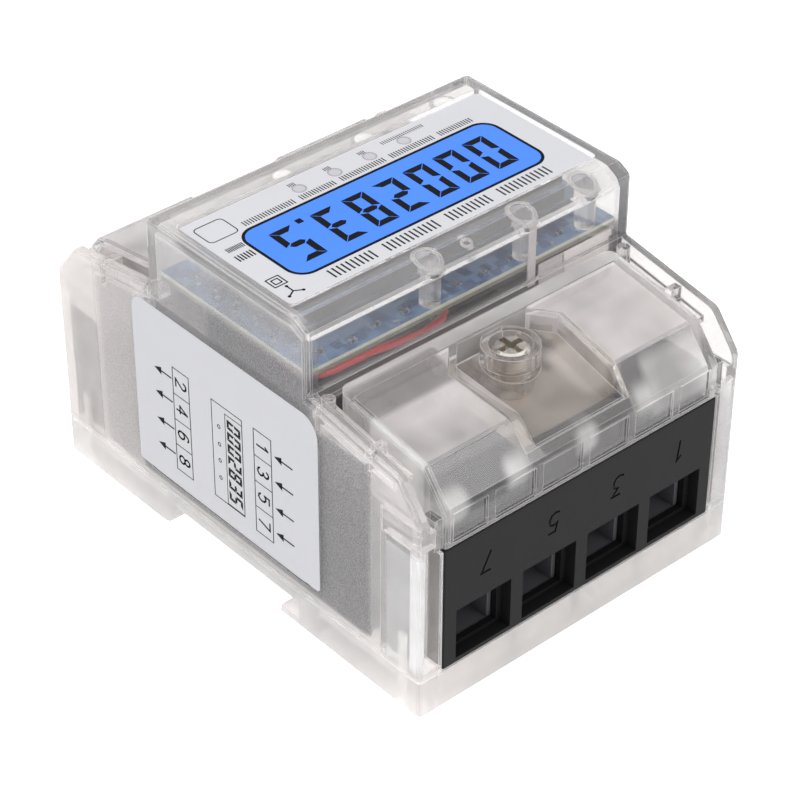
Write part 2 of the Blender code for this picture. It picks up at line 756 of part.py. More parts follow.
def make_terminal_block(end):
    """Black moulding with a wire entry, a cage pocket and a screw well for each pole."""
    bm = bmesh.new()
    half = BLOCK_WIDTH / 2
    add_box(bm, (-half, half), (-HALF_LENGTH, -BLOCK_REAR_Y), (HOUSING_FOOT, BLOCK_TOP))
    block = mesh_object(end + "_terminal_block", bm, black_moulding())
    soften(block, 0.25, 1)
    parts = [block]

    def operand(name, bm, action):
        made = guide(end + "_" + name, bm)
        action(block, made)
        parts.append(made)

    well = WELL_WIDTH / 2
    bm = bmesh.new()
    tower = TOWER_WIDTH / 2
    tower_y = (-TERMINAL_Y - well - WELL_WALL, -TERMINAL_Y + well + WELL_WALL)
    add_box(bm, (-tower, tower), tower_y, (BLOCK_TOP - WELL_WALL, TOWER_TOP))
    operand("tower", bm, join)

    cavities, ledges, wells, entries, tunnels, slots = [bmesh.new() for _ in range(6)]
    sill = HOUSING_FOOT + ENTRY_SILL
    tunnel_foot = CAGE_FOOT + CAGE_BOTTOM_BAR + GAP
    for x in POLES_X:
        half = CAVITY_WIDTH / 2
        add_box(cavities, (x - half, x + half), (-CAVITY_FRONT_Y, -CAVITY_REAR_Y), (-1, CAVITY_TOP))
        shank = SCREW_RADIUS + SCREW_CLEARANCE
        add_cylinder(ledges, (x, -TERMINAL_Y), shank, 2, CAVITY_TOP - 1, WELL_FLOOR + 1, 20)
        across = (x - well, x + well)
        add_box(wells, across, (-TERMINAL_Y - well, -TERMINAL_Y + well), (WELL_FLOOR, TOWER_TOP + 1))
        half = ENTRY_WIDTH / 2
        deep = (-HALF_LENGTH - 1, -HALF_LENGTH + ENTRY_DEPTH)
        add_box(entries, (x - half, x + half), deep, (sill, sill + ENTRY_HEIGHT))
        half = TUNNEL_WIDTH / 2
        through = (-HALF_LENGTH + ENTRY_DEPTH - 1, -CAVITY_FRONT_Y + 1)
        add_box(tunnels, (x - half, x + half), through, (tunnel_foot, tunnel_foot + TUNNEL_HEIGHT))
        half = BUSBAR_WIDTH / 2 + GAP
        height = (BUSBAR_UNDERSIDE - GAP, BUSBAR_TOP + GAP)
        add_box(slots, (x - half, x + half), (-CAVITY_REAR_Y - 1, -BLOCK_REAR_Y + 1), height)
    operand("cage_pockets", cavities, cut)
    operand("ledge_holes", ledges, cut)
    operand("screw_wells", wells, cut)
    operand("wire_entries", entries, cut)
    operand("wire_tunnels", tunnels, cut)
    operand("busbar_slots", slots, cut)

    for layer in range(2):
        strokes = bmesh.new()
        for index, x in enumerate(POLES_X):
            number = 2 * index + (1 if end == "front" else 2)
            for line in NUMBER_STROKES[number][layer::2]:
                deep = (-HALF_LENGTH - 1, -HALF_LENGTH + NUMBER_DEPTH)
                add_prism(strokes, stroke_outline(number_line(line, x)), 1, *deep)
        if strokes.verts:
            operand("numbers_" + str(layer), strokes, cut)
        else:
            strokes.free()
    turn_to_end(parts, end)


def number_line(line, x):
    """A digit's line on the front face; it stands upside down, to be read from the plate side."""
    out = []
    for right, up in line:
        leaned = right - NUMBER_WIDTH / 2 + NUMBER_SLANT * (up - 0.5)
        out.append((x + NUMBER_OFFSET - NUMBER_HEIGHT * leaned, NUMBER_Z - NUMBER_HEIGHT * (up - 0.5)))
    return out


def stroke_outline(line):
    """The closed outline of a pen stroke of even width along a line, with mitred bends."""
    left, right = [], []
    for i, (x, y) in enumerate(line):
        before = line[max(i - 1, 0)]
        after = line[min(i + 1, len(line) - 1)]
        units = []
        for a, b in ((before, (x, y)), ((x, y), after)):
            length = math.hypot(b[0] - a[0], b[1] - a[1])
            if length > 0:
                units.append(((a[1] - b[1]) / length, (b[0] - a[0]) / length))
        (nx, ny), (mx, my) = units[0], units[-1]
        share = NUMBER_STROKE / 2 / (1 + nx * mx + ny * my)
        left.append((x + (nx + mx) * share, y + (ny + my) * share))
        right.append((x - (nx + mx) * share, y - (ny + my) * share))
    return left + right[::-1]


def make_terminals():
    """Cages and screws: odd numbers at the front, even ones at the rear, pole by pole."""
    for index, x in enumerate(POLES_X):
        for number, y in ((2 * index + 1, -TERMINAL_Y), (2 * index + 2, TERMINAL_Y)):
            make_cage(number, x, y)
            make_terminal_screw(number, x, y)


def make_cage(number, x, y):
    bm = bmesh.new()
    half = (CAGE_WIDTH / 2, CAGE_DEPTH / 2)
    add_box(bm, (-half[0], half[0]), (-half[1], half[1]), (0, CAGE_HEIGHT))
    place = (x, y, CAGE_FOOT)
    cage = mesh_object("terminal_cage_" + str(number), bm, plated_steel(), place)

    bm = bmesh.new()
    side = half[0] - CAGE_SIDE
    inside = (CAGE_BOTTOM_BAR, CAGE_HEIGHT - CAGE_TOP_BAR)
    add_box(bm, (-side, side), (-half[1] - 1, half[1] + 1), inside)
    opening = guide("cage_opening_" + str(number), bm)
    opening.location = cage.location
    cut(cage, opening)

    bm = bmesh.new()
    radius = SCREW_RADIUS + SCREW_CLEARANCE
    add_cylinder(bm, (0, 0), radius, 2, CAGE_HEIGHT - CAGE_TOP_BAR - 1, CAGE_HEIGHT + 1, 20)
    thread = guide("cage_thread_" + str(number), bm)
    thread.location = cage.location
    cut(cage, thread)


def make_terminal_screw(number, x, y):
    """Headed screw on its own axis: it turns in the ledge, and its tip bears on the busbar."""
    bm = bmesh.new()
    tip = BUSBAR_TOP + GAP
    seat = WELL_FLOOR + GAP
    profile = [
        (0.0, seat + SCREW_HEAD_HEIGHT),
        (SCREW_HEAD_RADIUS - 0.4, seat + SCREW_HEAD_HEIGHT),
        (SCREW_HEAD_RADIUS, seat + SCREW_HEAD_HEIGHT - 0.4),
        (SCREW_HEAD_RADIUS, seat),
        (SCREW_RADIUS, seat),
        (SCREW_RADIUS, tip + 0.6),
        (SCREW_RADIUS - 0.6, tip),
        (0.0, tip),
    ]
    add_turned(bm, [(r, z - seat) for r, z in profile], 20)
    stuff = plated_steel()
    screw = mesh_object("terminal_screw_" + str(number), bm, stuff, (x, y, seat))
    smooth(screw)
    bm = bmesh.new()
    slot_z = (SCREW_HEAD_HEIGHT - SCREW_SLOT_DEPTH, SCREW_HEAD_HEIGHT + 1)
    reach = SCREW_HEAD_RADIUS + 1
    add_box(bm, (-reach, reach), (-SCREW_SLOT_WIDTH / 2, SCREW_SLOT_WIDTH / 2), slot_z)
    slot = guide("screw_slot_" + str(number), bm)
    slot.location = screw.location
    cut(screw, slot)


def add_turned(bm, profile, segments):
    """A solid of revolution about Z from (radius, height) points that start and end at radius 0."""
    rings = []
    for radius, z in profile:
        if radius == 0.0:
            rings.append([bm.verts.new((0.0, 0.0, z))])
        else:
            rings.append([bm.verts.new((px, py, z)) for px, py in circle((0, 0), radius, segments)])
    faces = []
    for upper, lower in zip(rings, rings[1:]):
        for i in range(segments):
            j = (i + 1) % segments
            if len(upper) == 1:
                faces.append(bm.faces.new((upper[0], lower[i], lower[j])))
            elif len(lower) == 1:
                faces.append(bm.faces.new((upper[i], lower[0], upper[j])))
            else:
                faces.append(bm.faces.new((upper[i], lower[i], lower[j], upper[j])))
    bmesh.ops.recalc_face_normals(bm, faces=faces)


def make_busbars():
    """One flat copper bar for each pole, from the front cage to the rear one."""
    for index, x in enumerate(POLES_X):
        bm = bmesh.new()
        half = BUSBAR_WIDTH / 2
        height = (BUSBAR_UNDERSIDE, BUSBAR_TOP)
        add_box(bm, (x - half, x + half), (-BUSBAR_END_Y, BUSBAR_END_Y), height)
        mesh_object("busbar_" + str(index + 1), bm, copper())


def make_current_transformers():
    """A potted block around the busbar of each phase; the last pole is the neutral and has none."""
    for index, x in enumerate(POLES_X[:-1]):
        bm = bmesh.new()
        half = (TRANSFORMER_WIDTH / 2, TRANSFORMER_DEPTH / 2)
        height = (HOUSING_FOOT, HOUSING_FOOT + TRANSFORMER_HEIGHT)
        add_box(bm, (x - half[0], x + half[0]), (-half[1], half[1]), height)
        stuff = material("potted_transformer", (0.03, 0.06, 0.16), 0.4)
        potted = mesh_object("current_transformer_" + str(index + 1), bm, stuff)
        soften(potted, 0.8, 2)
        bm = bmesh.new()
        middle = (BUSBAR_UNDERSIDE + BUSBAR_TOP) / 2
        add_cylinder(bm, (x, middle), TRANSFORMER_BORE_RADIUS, 1, -half[1] - 1, half[1] + 1, 20)
        cut(potted, guide("transformer_bore_" + str(index + 1), bm))


def make_inner_carrier():
    """Black hood over the current path: its step carries the inserts and its top the board."""
    bm = bmesh.new()
    across = INNER_X - GAP
    top_y = RAISED_Y
    half = [
        (CARRIER_Y, HOUSING_FOOT),
        (CARRIER_Y, CARRIER_STEP),
        (top_y, CARRIER_STEP),
        (top_y, CARRIER_TOP),
    ]
    section = half + [(-y, z) for y, z in reversed(half)]
    add_prism(bm, section, 0, -across, across)
    carrier = mesh_object("inner_carrier", bm, black_moulding())
    soften(carrier, 0.5, 1)

    bm = bmesh.new()
    half = [
        (CARRIER_Y - WALL, -1.0),
        (CARRIER_Y - WALL, CARRIER_STEP - WALL),
        (top_y - WALL, CARRIER_STEP - WALL),
        (top_y - WALL, CARRIER_TOP - WALL),
    ]
    inside = half + [(-y, z) for y, z in reversed(half)]
    add_prism(bm, inside, 0, -across + WALL, across - WALL)
    cut(carrier, guide("carrier_inside", bm))

    bm = bmesh.new()
    size = (CARRIER_WINDOW_WIDTH, CARRIER_WINDOW_LENGTH)
    add_prism(bm, rounded_rectangle((0, 0), size, 2.0, 3), 2, CARRIER_TOP - 2 * WALL, CARRIER_TOP + 1)
    cut(carrier, guide("carrier_window", bm))

    bm = bmesh.new()
    for x in POLES_X:
        half = BUSBAR_WIDTH / 2 + GAP
        height = (BUSBAR_UNDERSIDE - GAP, BUSBAR_TOP + GAP)
        for sy in (-1, 1):
            wall = sorted((sy * (CARRIER_Y + 1), sy * (CARRIER_Y - WALL - 1)))
            add_box(bm, (x - half, x + half), wall, height)
    cut(carrier, guide("carrier_slots", bm))

    bm = bmesh.new()
    for sy in (-1, 1):
        hole = INSERT_RADIUS + GAP
        add_cylinder(bm, (0, sy * SEAL_Y), hole, 2, CARRIER_STEP - 2 * WALL, CARRIER_STEP + 1, 20)
    cut(carrier, guide("insert_holes", bm))

    bm = bmesh.new()
    for sx in (-1, 1):
        for y in BOARD_POSTS_Y:
            centre = (sx * BOARD_POST_X, y)
            high = BOARD_UNDERSIDE - GAP
            add_cylinder(bm, centre, BOARD_POST_RADIUS, 2, CARRIER_TOP - WALL / 2, high, 16)
    join(carrier, guide("board_posts", bm))


def cover_section(foot):
    """Outer section of the front terminal cover, flush with the case's own profile."""
    rear_y = -RAISED_Y - COVER_REAR_GAP
    return [
        (-HALF_LENGTH, foot),
        (-HALF_LENGTH, END_FACE_TOP),
        (-CHAMFER_Y, CHAMFER_TOP),
        (rear_y, shoulder_z(rear_y)),
        (rear_y, foot),
    ]


def recess_outline(front_y):
    """Plan of the sealing recess: cut rear corners, and walls that draw in towards the mouth."""
    corner_y = -RECESS_REAR_Y - RECESS_CORNER_LENGTH
    draw = (RECESS_WIDTH - RECESS_MOUTH_WIDTH) / 2 / (HALF_LENGTH + corner_y)
    mouth = RECESS_MOUTH_WIDTH / 2 + draw * (front_y + HALF_LENGTH)
    half = [
        (RECESS_REAR_WIDTH / 2, -RECESS_REAR_Y),
        (RECESS_WIDTH / 2, corner_y),
        (mouth, front_y),
    ]
    return half + [(-x, y) for x, y in reversed(half)]


def floor_wedge(drop, top, front_y, rear_y):
    """Section between a line that many millimetres under the recess floor and a level."""
    return [
        (front_y, recess_floor_z(front_y) - drop),
        (rear_y, recess_floor_z(rear_y) - drop),
        (rear_y, top),
        (front_y, top),
    ]


def make_terminal_cover(end):
    """Clear lift-off cover: shell, side flanges, break-out panes and the sealing recess."""
    low = BLOCK_TOP - 10
    high = CASE_HEIGHT
    bm = bmesh.new()
    half = COVER_WIDTH / 2
    add_prism(bm, cover_section(low), 0, -half, half)
    cover = mesh_object(end + "_terminal_cover", bm, frosted_cover())
    soften(cover, COVER_EDGE_RADIUS)
    parts = [cover]

    def operand(name, bm, action, target=cover):
        made = guide(end + "_" + name, bm)
        if target:
            action(target, made)
        parts.append(made)
        return made

    bm = bmesh.new()
    rear_y = -RAISED_Y - COVER_REAR_GAP
    radius = COVER_CORNER_RADIUS
    plan = [(-half, -HALF_LENGTH - 1), (half, -HALF_LENGTH - 1)]
    plan += arc((half - radius, rear_y - radius), radius, 0, 90, 5)
    plan += arc((-half + radius, rear_y - radius), radius, 90, 180, 5)
    add_prism(bm, offset_outline(plan, 0.01), 2, low - 1, high)
    operand("cover_plan", bm, lambda a, b: combine(a, b, "INTERSECT"))

    bm = bmesh.new()
    flange_y = (-HALF_LENGTH + COVER_FLANGE_SETBACK, -HALF_LENGTH + COVER_FLANGE_SETBACK + COVER_FLANGE_LENGTH)
    for sx in (-1, 1):
        across = sorted((sx * COVER_FLANGE_WIDTH / 2, sx * (half - COVER_WALL / 2)))
        add_box(bm, across, flange_y, (low, COVER_FLANGE_TOP))
    operand("cover_flanges", bm, join)

    bm = bmesh.new()
    inner = offset_outline(cover_section(low - 5), -COVER_WALL)
    thicker = COVER_REAR_WALL - COVER_WALL
    inner[3] = (inner[3][0] - thicker, inner[3][1] - thicker * SHOULDER_SLOPE)
    inner[4] = (inner[4][0] - thicker, inner[4][1])
    add_prism(bm, inner, 0, -half + COVER_WALL, half - COVER_WALL)
    cavity = operand("cover_inside", bm, cut)
    bm = bmesh.new()
    pan = offset_outline(recess_outline(-HALF_LENGTH - 4), RECESS_WALL)
    add_prism(bm, pan, 2, low - 10, high + 1)
    pan_block = operand("recess_pan", bm, None, None)
    bm = bmesh.new()
    below = [(-HALF_LENGTH - 8, low - 20), (-RAISED_Y + 2, low - 20)]
    below += list(reversed(floor_wedge(RECESS_WALL, high, -HALF_LENGTH - 8, -RAISED_Y + 2)[:2]))
    add_prism(bm, below, 0, -half, half)
    cut(pan_block, operand("under_pan", bm, None, None))
    cut(cavity, pan_block)

    bm = bmesh.new()
    skirt = CARRIER_STEP + GAP
    trim = [
        (-CASE_LENGTH, low - 20),
        (-CASE_LENGTH, BLOCK_TOP + GAP),
        (-COVER_SKIRT_STEP_Y, BLOCK_TOP + GAP),
        (-COVER_SKIRT_STEP_Y, skirt),
        (0, skirt),
        (0, low - 20),
    ]
    add_prism(bm, trim, 0, -CASE_WIDTH, CASE_WIDTH)
    operand("skirt_trim", bm, cut)

    bm = bmesh.new()
    add_prism(bm, recess_outline(-HALF_LENGTH - 4), 2, low, high)
    recess = operand("recess", bm, None, None)
    bm = bmesh.new()
    below = [(-HALF_LENGTH - 8, low - 20), (-RAISED_Y + 2, low - 20)]
    below += list(reversed(floor_wedge(0.0, high, -HALF_LENGTH - 8, -RAISED_Y + 2)[:2]))
    add_prism(bm, below, 0, -half - 1, half + 1)
    cut(recess, operand("under_floor", bm, None, None))
    cut(cover, recess)

    bm = bmesh.new()
    add_cylinder(bm, (0, -SEAL_Y), COLLAR_RADIUS, 2, low, COLLAR_TOP, 32)
    collar = operand("collar", bm, None, None)
    bm = bmesh.new()
    below = [(-HALF_LENGTH - 8, low - 20), (-RAISED_Y + 2, low - 20)]
    below += list(reversed(floor_wedge(RECESS_WALL / 2, high, -HALF_LENGTH - 8, -RAISED_Y + 2)[:2]))
    add_prism(bm, below, 0, -half - 2, half + 2)
    cut(collar, operand("under_collar", bm, None, None))
    join(cover, collar)
    bm = bmesh.new()
    add_cylinder(bm, (0, -SEAL_Y), COLLAR_BORE_RADIUS, 2, SEAL_SEAT, high, 28)
    operand("collar_bore", bm, cut)
    bm = bmesh.new()
    add_cylinder(bm, (0, -SEAL_Y), SEAL_SHANK_RADIUS + SEAL_CLEARANCE, 2, low, high, 16)
    operand("shank_hole", bm, cut)

    bm = bmesh.new()
    foot = BLOCK_TOP + GAP + PANE_MARGIN
    for i in range(PANE_COUNT):
        middle = PANE_PITCH * (i - (PANE_COUNT - 1) / 2)
        edge = half - COVER_WALL
        across = (max(middle - PANE_WIDTH / 2, -edge), min(middle + PANE_WIDTH / 2, edge))
        deep = (-HALF_LENGTH - 1, -HALF_LENGTH + PANE_DEPTH)
        add_box(bm, across, deep, (foot, END_FACE_TOP - PANE_MARGIN))
    operand("panes", bm, cut)
    turn_to_end(parts, end)


def make_sealing_screw(end):
    """Captive screw of a terminal cover, on its own axis, with a cross recess in its head."""
    sign = -1 if end == "front" else 1
    seat = SEAL_SEAT + GAP
    profile = [
        (0.0, SEAL_HEAD_HEIGHT),
        (SEAL_HEAD_RADIUS - 0.7, SEAL_HEAD_HEIGHT),
        (SEAL_HEAD_RADIUS, SEAL_HEAD_HEIGHT - 0.7),
        (SEAL_HEAD_RADIUS, 0.0),
        (SEAL_SHANK_RADIUS, 0.0),
        (SEAL_SHANK_RADIUS, -SEAL_SHANK_LENGTH + 0.6),
        (SEAL_SHANK_RADIUS - 0.6, -SEAL_SHANK_LENGTH),
        (0.0, -SEAL_SHANK_LENGTH),
    ]
    bm = bmesh.new()
    add_turned(bm, profile, 24)
    place = (0.0, sign * SEAL_Y, seat)
    screw = mesh_object(end + "_sealing_screw", bm, plated_steel(), place)
    smooth(screw)
    bm = bmesh.new()
    depth = (SEAL_HEAD_HEIGHT - SCREW_SLOT_DEPTH, SEAL_HEAD_HEIGHT + 1)
    reach = SEAL_HEAD_RADIUS - 0.9
    half = SCREW_SLOT_WIDTH / 2
    cross = [
        (half, half), (reach, half), (reach, -half), (half, -half), (half, -reach), (-half, -reach),
        (-half, -half), (-reach, -half), (-reach, half), (-half, half), (-half, reach), (half, reach),
    ]
    add_prism(bm, cross, 2, *depth)
    recess = guide(end + "_cross_recess", bm)
    recess.location = screw.location
    cut(screw, recess)


def make_seal_insert(end):
    """Brass threaded insert that stands in the carrier's step under the sealing screw."""
    sign = -1 if end == "front" else 1
    top = recess_floor_z(SEAL_Y + INSERT_RADIUS) - RECESS_WALL - GAP
    flange_foot = CARRIER_STEP + GAP
    profile = [
        (0.0, top),
        (INSERT_RADIUS, top),
        (INSERT_RADIUS, flange_foot + INSERT_FLANGE_HEIGHT),
        (INSERT_FLANGE_RADIUS, flange_foot + INSERT_FLANGE_HEIGHT),
        (INSERT_FLANGE_RADIUS, flange_foot),
        (INSERT_RADIUS, flange_foot),
        (INSERT_RADIUS, CARRIER_STEP - WALL),
        (0.0, CARRIER_STEP - WALL),
    ]
    bm = bmesh.new()
    add_turned(bm, profile, 20)
    insert = mesh_object(end + "_seal_insert", bm, brass(), (0.0, sign * SEAL_Y, 0.0))
    smooth(insert)
    bm = bmesh.new()
    tip = SEAL_SEAT + GAP - SEAL_SHANK_LENGTH
    add_cylinder(bm, (0, 0), SEAL_SHANK_RADIUS + SEAL_CLEARANCE / 2, 2, tip - GAP, top + 1, 20)
    bore = guide(end + "_insert_bore", bm)
    bore.location = insert.location
    cut(insert, bore)


def make_display():
    """Faceplate, display glass, its bezel, the light guide behind it and the indicator lamps."""
    bm = bmesh.new()
    outline = rounded_rectangle((0, PLATE_CENTRE_Y), (PLATE_WIDTH, PLATE_LENGTH), PLATE_CORNER_RADIUS, 3)
    foot = PLATE_FLOOR + GAP
    add_prism(bm, outline, 2, foot, foot + PLATE_THICKNESS)
    plate = mesh_object("faceplate", bm, material("faceplate_print", (0.74, 0.74, 0.78), 0.5))
    centre = (WINDOW_CENTRE_X, WINDOW_CENTRE_Y)
    bm = bmesh.new()
    outline = rounded_rectangle(centre, (WINDOW_WIDTH, WINDOW_LENGTH), WINDOW_CORNER_RADIUS, 6)
    add_prism(bm, outline, 2, foot - 1, CASE_HEIGHT + 1)
    cut(plate, guide("plate_window", bm))
    bm = bmesh.new()
    for x in led_places():
        add_cylinder(bm, (x, LED_Y), LED_RADIUS, 2, foot - 1, CASE_HEIGHT + 1, 16)
    cut(plate, guide("lamp_windows", bm))

    bm = bmesh.new()
    outline = rounded_rectangle(centre, glass_size(), PLATE_CORNER_RADIUS, 3)
    add_prism(bm, outline, 2, GLASS_TOP - GLASS_THICKNESS, GLASS_TOP)
    mesh_object("display_glass", bm, material("display_blue", (0.08, 0.30, 1.0), 0.15))

    bezel_top = GLASS_TOP - GLASS_THICKNESS - GAP
    inner = glass_size()
    outer = (inner[0] + 2 * BEZEL_WALL, inner[1] + 2 * BEZEL_WALL)
    bm = bmesh.new()
    add_prism(bm, rounded_rectangle(centre, outer, 1.5, 3), 2, BOARD_TOP + GAP, bezel_top)
    bezel = mesh_object("display_bezel", bm, black_moulding())
    bm = bmesh.new()
    hollow = (inner[0] - 2 * BEZEL_WALL, inner[1] - 2 * BEZEL_WALL)
    add_prism(bm, rounded_rectangle(centre, hollow, 1.0, 3), 2, BOARD_TOP - 1, bezel_top + 1)
    cut(bezel, guide("bezel_opening", bm))

    bm = bmesh.new()
    guide_size = (hollow[0] - 2 * GAP, hollow[1] - 2 * GAP)
    outline = rounded_rectangle(centre, guide_size, 1.0, 3)
    add_prism(bm, outline, 2, bezel_top - BACKLIGHT_THICKNESS, bezel_top)
    mesh_object("backlight", bm, material("light_guide", (0.85, 0.88, 0.95), 0.4))

    for index, x in enumerate(led_places()):
        bm = bmesh.new()
        top = TOP_UNDERSIDE - LED_TOP_GAP
        foot = BOARD_TOP + GAP
        dome = [(LED_RADIUS * math.sin(math.radians(t)), top - LED_RADIUS * (1 - math.cos(math.radians(t))))
                for t in (0, 30, 60, 90)]
        add_turned(bm, dome + [(LED_RADIUS, foot), (0.0, foot)], 16)
        name = "indicator_led_" + str(index + 1)
        lamp = mesh_object(name, bm, material("led_lens", (0.85, 0.82, 0.80), 0.2), (x, LED_Y, 0.0))
        smooth(lamp)


def led_places():
    return [LED_FIRST_X + LED_PITCH * i for i in range(LED_COUNT)]


def make_main_board():
    """Circuit board with pin holes, and the parts that hang under it."""
    bm = bmesh.new()
    half = (INNER_X - BOARD_EDGE_GAP, RAISED_Y - WALL - BOARD_EDGE_GAP)
    add_box(bm, (-half[0], half[0]), (-half[1], half[1]), (BOARD_UNDERSIDE, BOARD_TOP))
    board = mesh_object("main_board", bm, material("board_blue", (0.06, 0.12, 0.22), 0.4))
    bm = bmesh.new()
    for x, y in boss_places():
        hole = PIN_RADIUS + PIN_CLEARANCE
        add_cylinder(bm, (x, y), hole, 2, BOARD_UNDERSIDE - 1, BOARD_TOP + 1, 12)
    cut(board, guide("board_holes", bm))

    high = BOARD_UNDERSIDE - GAP
    for index, x in enumerate(CAPACITORS_X):
        bm = bmesh.new()
        can = [
            (0.0, high),
            (CAPACITOR_RADIUS, high),
            (CAPACITOR_RADIUS, high - CAPACITOR_LENGTH + 0.5),
            (CAPACITOR_RADIUS - 0.5, high - CAPACITOR_LENGTH),
            (0.0, high - CAPACITOR_LENGTH),
        ]
        add_turned(bm, can, 20)
        name = "supply_capacitor_" + str(index + 1)
        stuff = material("capacitor_sleeve", (0.05, 0.05, 0.07), 0.35)
        smooth(mesh_object(name, bm, stuff, (x, CAPACITORS_Y, 0.0)))
    bm = bmesh.new()
    side = CHIP_SIDE / 2
    add_box(bm, (CHIP_X - side, CHIP_X + side), (-side, side), (high - CHIP_HEIGHT, high))
    chip = mesh_object("metering_chip", bm, material("chip_black", (0.02, 0.02, 0.02), 0.5))
    soften(chip, 0.2, 1)


def make_side_label():
    bm = bmesh.new()
    size = (LABEL_REAR_Y - LABEL_FRONT_Y, LABEL_TOP - LABEL_BOTTOM)
    outline = rounded_rectangle(label_centre(), size, LABEL_CORNER_RADIUS)
    add_prism(bm, outline, 0, -HALF_WIDTH + LABEL_SINK, label_back_x())
    mesh_object("side_label", bm, material("label_film", (0.78, 0.78, 0.80), 0.5))


def make_din_clip():
    """Sliding clip: a T section in the tray's channel, with a nose that grips under the rail."""
    bm = bmesh.new()
    foot = GAP
    step = foot + CLIP_STEM_HEIGHT
    stem = CLIP_STEM_WIDTH / 2
    flange = CLIP_FLANGE_WIDTH / 2
    section = [
        (-stem, foot), (stem, foot), (stem, step), (flange, step),
        (flange, step + CLIP_FLANGE_HEIGHT), (-flange, step + CLIP_FLANGE_HEIGHT),
        (-flange, step), (-stem, step),
    ]
    tail = HALF_LENGTH - CLIP_TAIL_INSET
    add_prism(bm, section, 1, clip_front_y(), tail)
    clip = mesh_object("din_clip", bm, material("clip_grey", (0.30, 0.31, 0.33), 0.5))

    bm = bmesh.new()
    nose_top = SLOT_DEPTH - RAIL_PAD_DROP - 1.2
    ahead = clip_front_y() - 1
    nose = [
        (ahead, -1.0), (clip_front_y() + 1.0, -1.0), (clip_front_y(), nose_top - 0.6),
        (clip_front_y(), nose_top), (SLOT_REAR_Y + GAP, nose_top), (SLOT_REAR_Y + GAP, 10.0),
        (ahead, 10.0),
    ]
    add_prism(bm, nose, 0, -flange - 1, flange + 1)
    cut(clip, guide("clip_nose", bm))
    bm = bmesh.new()
    half = CLIP_WINDOW_WIDTH / 2
    add_box(bm, (-half, half), clip_window(), (-1, 10))
    half = CLIP_PULL_WIDTH / 2
    pull = (tail - CLIP_PULL_INSET - CLIP_PULL_LENGTH, tail - CLIP_PULL_INSET)
    add_box(bm, (-half, half), pull, (-1, 10))
    cut(clip, guide("clip_openings", bm))
    make_clip_spring()


def make_clip_spring():
    """Compression spring in the clip's window, as a wire that follows a helix along Y."""
    start = clip_window()[0] + GAP
    length = SPRING_LENGTH
    middle_z = GAP + (CLIP_STEM_HEIGHT + CLIP_FLANGE_HEIGHT) / 2
    per_turn = 12
    count = SPRING_TURNS * per_turn
    wire = bpy.data.curves.new("clip_spring", "CURVE")
    wire.dimensions = "3D"
    wire.bevel_depth = SPRING_WIRE_RADIUS * MM
    wire.bevel_resolution = 1
    wire.use_fill_caps = True
    path = wire.splines.new("POLY")
    path.points.add(count)
    run = length - 2 * SPRING_WIRE_RADIUS
    for i in range(count + 1):
        turn = 2 * math.pi * i / per_turn
        x = SPRING_COIL_RADIUS * math.cos(turn)
        z = middle_z + SPRING_COIL_RADIUS * math.sin(turn)
        y = start + SPRING_WIRE_RADIUS + run * i / count
        path.points[i].co = (x * MM, y * MM, z * MM, 1.0)
    wire.materials.append(plated_steel())
    made = bpy.data.objects.new("clip_spring", wire)
    bpy.context.scene.collection.objects.link(made)


def make_case_screws():
    for index, (x, y) in enumerate(case_screw_places()):
        bm = bmesh.new()
        head = CASE_SCREW_SINK
        seat = head + CASE_SCREW_HEAD_HEIGHT - GAP
        tip = CASE_SCREW_SINK + CASE_SCREW_LENGTH
        profile = [
            (0.0, tip),
            (CASE_SCREW_RADIUS * 0.4, tip),
            (CASE_SCREW_RADIUS, tip - 1.2),
            (CASE_SCREW_RADIUS, seat),
            (CASE_SCREW_HEAD_RADIUS, seat),
            (CASE_SCREW_HEAD_RADIUS, head + 0.4),
            (CASE_SCREW_HEAD_RADIUS - 0.4, head),
            (0.0, head),
        ]
        add_turned(bm, profile, 16)
        name = "case_screw_" + str(index + 1)
        smooth(mesh_object(name, bm, plated_steel(), (x, y, 0.0)))


def route_point(points, t):
    """A smooth curve through the route's points (Catmull-Rom), t from 0 to 1."""
    spans = len(points) - 1
    place = min(t * spans, spans - 1e-9)
    i = int(place)
    f = place - i
    a, b = points[max(i - 1, 0)], points[i]
    c, d = points[i + 1], points[min(i + 2, spans)]
    out = []
    for p, q, r, s in zip(a, b, c, d):
        value = 2 * q + (r - p) * f + (2 * p - 5 * q + 4 * r - s) * f * f
        out.append(0.5 * (value + (3 * q - p - 3 * r + s) * f**3))
    return out


def make_voltage_lead():
    wire = bpy.data.curves.new("voltage_lead", "CURVE")
    wire.dimensions = "3D"
    wire.bevel_depth = LEAD_RADIUS * MM
    wire.bevel_resolution = 2
    wire.use_fill_caps = True
    path = wire.splines.new("POLY")
    count = 40
    path.points.add(count)
    for i in range(count + 1):
        x, y, z = route_point(LEAD_ROUTE, i / count)
        path.points[i].co = (x * MM, y * MM, z * MM, 1.0)
    wire.materials.append(material("red_insulation", (0.45, 0.05, 0.05), 0.4))
    made = bpy.data.objects.new("voltage_lead", wire)
    bpy.context.scene.collection.objects.link(made)


def main():
    clear_scene()
    make_base_tray()
    make_upper_housing()
    for end in ("front", "rear"):
        make_terminal_block(end)
        make_terminal_cover(end)
        make_sealing_screw(end)
        make_seal_insert(end)
    make_terminals()
    make_busbars()
    make_current_transformers()
    make_inner_carrier()
    make_display()
    make_main_board()
    make_side_label()
    make_din_clip()
    make_case_screws()
    make_voltage_lead()


main()
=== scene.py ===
"""Dressed view of a clear-cased three-phase energy meter lying on its back on a white sweep.

Sizes are in millimetres until the last step of each piece, which writes metres into the mesh.
"""

import json
import math

import bmesh
import bpy
import numpy as np
from mathutils import Matrix, Vector


